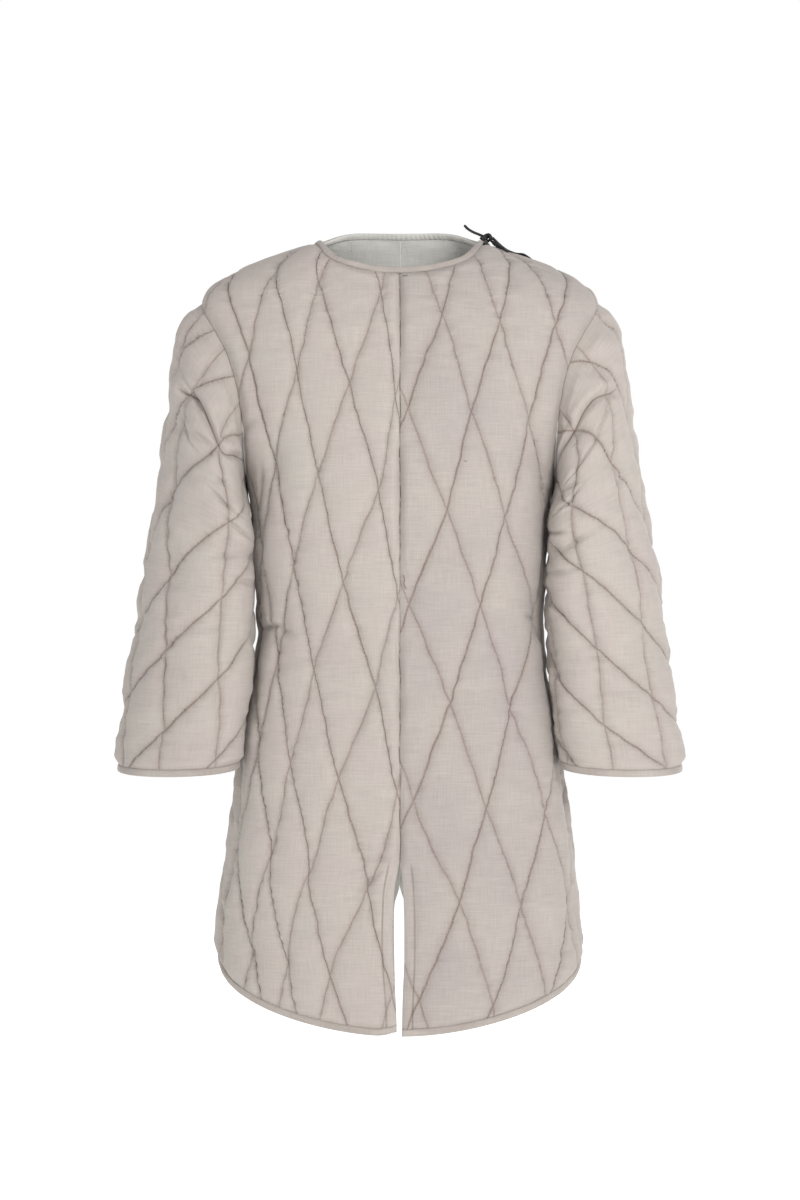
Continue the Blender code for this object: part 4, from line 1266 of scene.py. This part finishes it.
def lace_material():
    """Black braided cotton lace: near black, with a low gloss where its strands are drawn tight."""
    tree, shader = new_material("braided_lace", {"Roughness": 0.62, "Sheen Weight": 0.08})
    fibre, shade = fibre_shade(tree, 1400.0, 3.0, "#0B0B0D", "#1A1A1D")
    bump = add_node(tree, "ShaderNodeBump", {"Distance": 0.00012}, {"Height": fibre})
    tree.links.new(shade, shader.inputs["Base Color"])
    tree.links.new(bump.outputs[0], shader.inputs["Normal"])


def stage_material():
    """White studio paper, lit from within enough to stay white at the horizon."""
    new_material("studio_paper", {
        "Base Color": linear("#F4F4F3"), "Roughness": 0.95,
        "Emission Color": (1.0, 1.0, 1.0, 1.0), "Emission Strength": 0.48,
    })


# ---- the add-on ----

# (name, place, diameter, watts)
LIGHTS = (
    ("key", (1.45, -2.9, 0.7), 1.0, 58.0),
    ("fill", (-2.4, -2.8, 0.2), 2.4, 6.0),
    ("back", (1.6, 3.2, 1.0), 1.4, 40.0),
)
LIGHT_AIM = (0, 0, -0.5)
FLOOR_HALF_SIDE = 30
CEILING = {"From Min": 0.25, "From Max": 0.9, "To Min": 1.0, "To Max": 0.35}


def colour(name, value, description):
    return bpy.props.StringProperty(name=name, description=description, default=value)


def size(name, value, description):
    return bpy.props.FloatProperty(name=name, description=description, default=value, unit="LENGTH")


class GambesonColours(bpy.types.PropertyGroup):
    """Colours of the cloth and the lace, as sRGB hex values."""

    cloth: colour("Cloth", "#AEA7A0", "Unbleached cotton of the right front and the sleeves")
    cloth_cast: colour("Cloth's patches", "#AEA49F", "Where that cotton is a little pinker")
    cloth_left: colour("Left front", "#AAA29C", "The same cotton with a pinker cast")
    cloth_left_cast: colour("Left front's patches", "#A69D99", "Where that cotton is pinker still")
    lining: colour("Lining", "#D2D0CB", "Pale grey lining cotton")
    # also the painted shade of the lining's quilted lines and seams
    lining_cast_and_line_shade: colour("Lining's patches", "#C0BEB8", "Greyer threads of the lining")
    binding: colour("Binding", "#9F9690", "Cotton of the rolled edges")
    # painted: the thread's brown with the shade of its groove painted in
    stitching: colour("Stitching", "#6A4E3C", "Shaded thread in the quilted lines")
    # painted shadow for the seams and the deep folds
    seams: colour("Seams", "#4A3426", "The shadow in the seams and the deep folds")


class StudioSizes(bpy.types.PropertyGroup):
    """Where the camera and the floor are."""

    camera_distance: size("Camera distance", 3.5, "From the camera to the garment's middle")
    camera_height: size("Camera height", -0.461, "Height of the camera from the shoulders")
    frame_height: size("Frame height", 1.536, "What the picture's long side covers")
    floor_height: size("Floor", -1.30, "Height of the floor from the shoulders")


class GAMBESON_OT_finishes(bpy.types.Operator):
    """Make the cotton, lining, binding and lace materials"""

    bl_idname = "gambeson.finishes"
    bl_label = "Finishes"

    def execute(self, context):
        colours = context.scene.gambeson_colours
        body_lines = (BODY_LINE_SPACING, BODY_LINE_SIDE)
        sleeve_lines = (SLEEVE_LINE_SPACING, SLEEVE_LINE_SIDE)
        plain = colours.cloth, colours.cloth_cast
        pinkish = colours.cloth_left, colours.cloth_left_cast
        rolled, lining = (colours.binding, colours.cloth), (colours.lining, colours.lining_cast_and_line_shade)
        # the quilted lines' thread colour with painted groove shade, and the painted shadow of seams and
        # folds
        drawn = (colours.stitching, colours.seams)
        # the lining's lines and seams get its greyer cast as their thread colour with painted shade
        faint = (colours.lining_cast_and_line_shade, colours.lining_cast_and_line_shade)
        # the real threads are about 0.5 mm apart, too fine to show, so they are drawn coarser
        cotton("plain_cotton", plain, *drawn, 0.0009, body_lines)
        cotton("pinkish_cotton", pinkish, *drawn, 0.0009, body_lines)
        cotton("sleeve_cotton", plain, *drawn, 0.0009, sleeve_lines, 0.55)
        cotton("cotton_lining", lining, *faint, 0.0012, body_lines, 0.5, 0.0004)
        cotton("rolled_cotton", rolled, *drawn, 0.0009, wrinkle=0.0006)
        cotton("rolled_lining", lining, *drawn, 0.0012, wrinkle=0.0005)
        lace_material()
        thread_material()
        stage_material()
        return {"FINISHED"}


class GAMBESON_OT_panels(bpy.types.Operator):
    """Make the two fronts and the two backs of padded, quilted cotton"""

    bl_idname = "gambeson.panels"
    bl_label = "Fronts and backs"

    def execute(self, context):
        for side in (-1, 1):
            front = make_panel("front", side)
            make_panel("back", side)
        make_loose_threads(front)
        return {"FINISHED"}


class GAMBESON_OT_sleeves(bpy.types.Operator):
    """Make the two sleeves"""

    bl_idname = "gambeson.sleeves"
    bl_label = "Sleeves"

    def execute(self, context):
        for side in (-1, 1):
            make_sleeve(side)
        return {"FINISHED"}


class GAMBESON_OT_bindings(bpy.types.Operator):
    """Make the rolled strips round the neck, the hem and the cuffs"""

    bl_idname = "gambeson.bindings"
    bl_label = "Bindings"

    def execute(self, context):
        make_neck_binding()
        for side in (-1, 1):
            make_hem_binding(side)
            make_cuff_binding(side)
        return {"FINISHED"}


class GAMBESON_OT_laces(bpy.types.Operator):
    """Make the shoulder lace's knot, loop and ends"""

    bl_idname = "gambeson.laces"
    bl_label = "Shoulder lace"

    def execute(self, context):
        make_laces()
        return {"FINISHED"}


class GAMBESON_OT_studio(bpy.types.Operator):
    """Make the floor, the lights and the camera"""

    bl_idname = "gambeson.studio"
    bl_label = "Studio"

    def execute(self, context):
        sizes = context.scene.gambeson_studio
        scene = context.scene
        bm = bmesh.new()
        bmesh.ops.create_grid(bm, x_segments=1, y_segments=1, size=FLOOR_HALF_SIDE)
        bmesh.ops.translate(bm, verts=bm.verts, vec=(0, 0, sizes.floor_height))
        mesh = mesh_from(bm, "studio_floor")
        floor = bpy.data.objects.new("studio_floor", mesh)
        scene.collection.objects.link(floor)
        mesh.materials.append(bpy.data.materials["studio_paper"])

        world = bpy.data.worlds.new("studio")
        world.use_nodes = True
        background = world.node_tree.nodes["Background"]
        background.inputs["Color"].default_value = (1, 1, 1, 1)
        # a white room whose ceiling is dimmer than its walls
        direction = add_node(world.node_tree, "ShaderNodeTexCoord").outputs["Generated"]
        height = add_node(world.node_tree, "ShaderNodeSeparateXYZ", {}, {0: direction}).outputs[2]
        dimmed = add_node(world.node_tree, "ShaderNodeMapRange", CEILING, {0: height})
        world.node_tree.links.new(dimmed.outputs[0], background.inputs["Strength"])
        scene.world = world
        for name, place, size, power in LIGHTS:
            light = bpy.data.lights.new(name, "AREA")
            light.shape, light.size, light.energy = "DISK", size, power
            lamp = bpy.data.objects.new(name, light)
            lamp.location = place
            towards_garment = Vector(LIGHT_AIM) - Vector(place)
            lamp.rotation_euler = towards_garment.to_track_quat("-Z", "Y").to_euler()
            scene.collection.objects.link(lamp)

        camera = bpy.data.cameras.new("camera")
        camera.sensor_width = 36.0
        camera.lens = camera.sensor_width * sizes.camera_distance / sizes.frame_height
        viewer = bpy.data.objects.new("camera", camera)
        viewer.location = (0, -sizes.camera_distance, sizes.camera_height)
        viewer.rotation_euler = (QUARTER, 0, 0)
        scene.collection.objects.link(viewer)
        scene.camera = viewer
        scene.view_settings.view_transform = "Standard"
        return {"FINISHED"}


class GAMBESON_PT_panel(bpy.types.Panel):
    bl_label = "Gambeson"
    bl_space_type = "VIEW_3D"
    bl_region_type = "UI"
    bl_category = "Gambeson"

    def draw(self, context):
        for group in (context.scene.gambeson_colours, context.scene.gambeson_studio):
            for name in group.__annotations__:
                self.layout.prop(group, name)
        for operator in OPERATORS:
            self.layout.operator(operator.bl_idname)


OPERATORS = (
    GAMBESON_OT_finishes,
    GAMBESON_OT_panels,
    GAMBESON_OT_sleeves,
    GAMBESON_OT_bindings,
    GAMBESON_OT_laces,
    GAMBESON_OT_studio,
)
CLASSES = (GambesonColours, StudioSizes, *OPERATORS, GAMBESON_PT_panel)


def register():
    for item in CLASSES:
        bpy.utils.register_class(item)
    bpy.types.Scene.gambeson_colours = bpy.props.PointerProperty(type=GambesonColours)
    bpy.types.Scene.gambeson_studio = bpy.props.PointerProperty(type=StudioSizes)


def unregister():
    del bpy.types.Scene.gambeson_studio
    del bpy.types.Scene.gambeson_colours
    for item in reversed(CLASSES):
        bpy.utils.unregister_class(item)


def main():
    register()
    bpy.ops.gambeson.finishes()
    bpy.ops.gambeson.studio()
    bpy.ops.gambeson.laces()
    bpy.ops.gambeson.panels()
    bpy.ops.gambeson.sleeves()
    bpy.ops.gambeson.bindings()


if __name__ == "__main__":
    main()
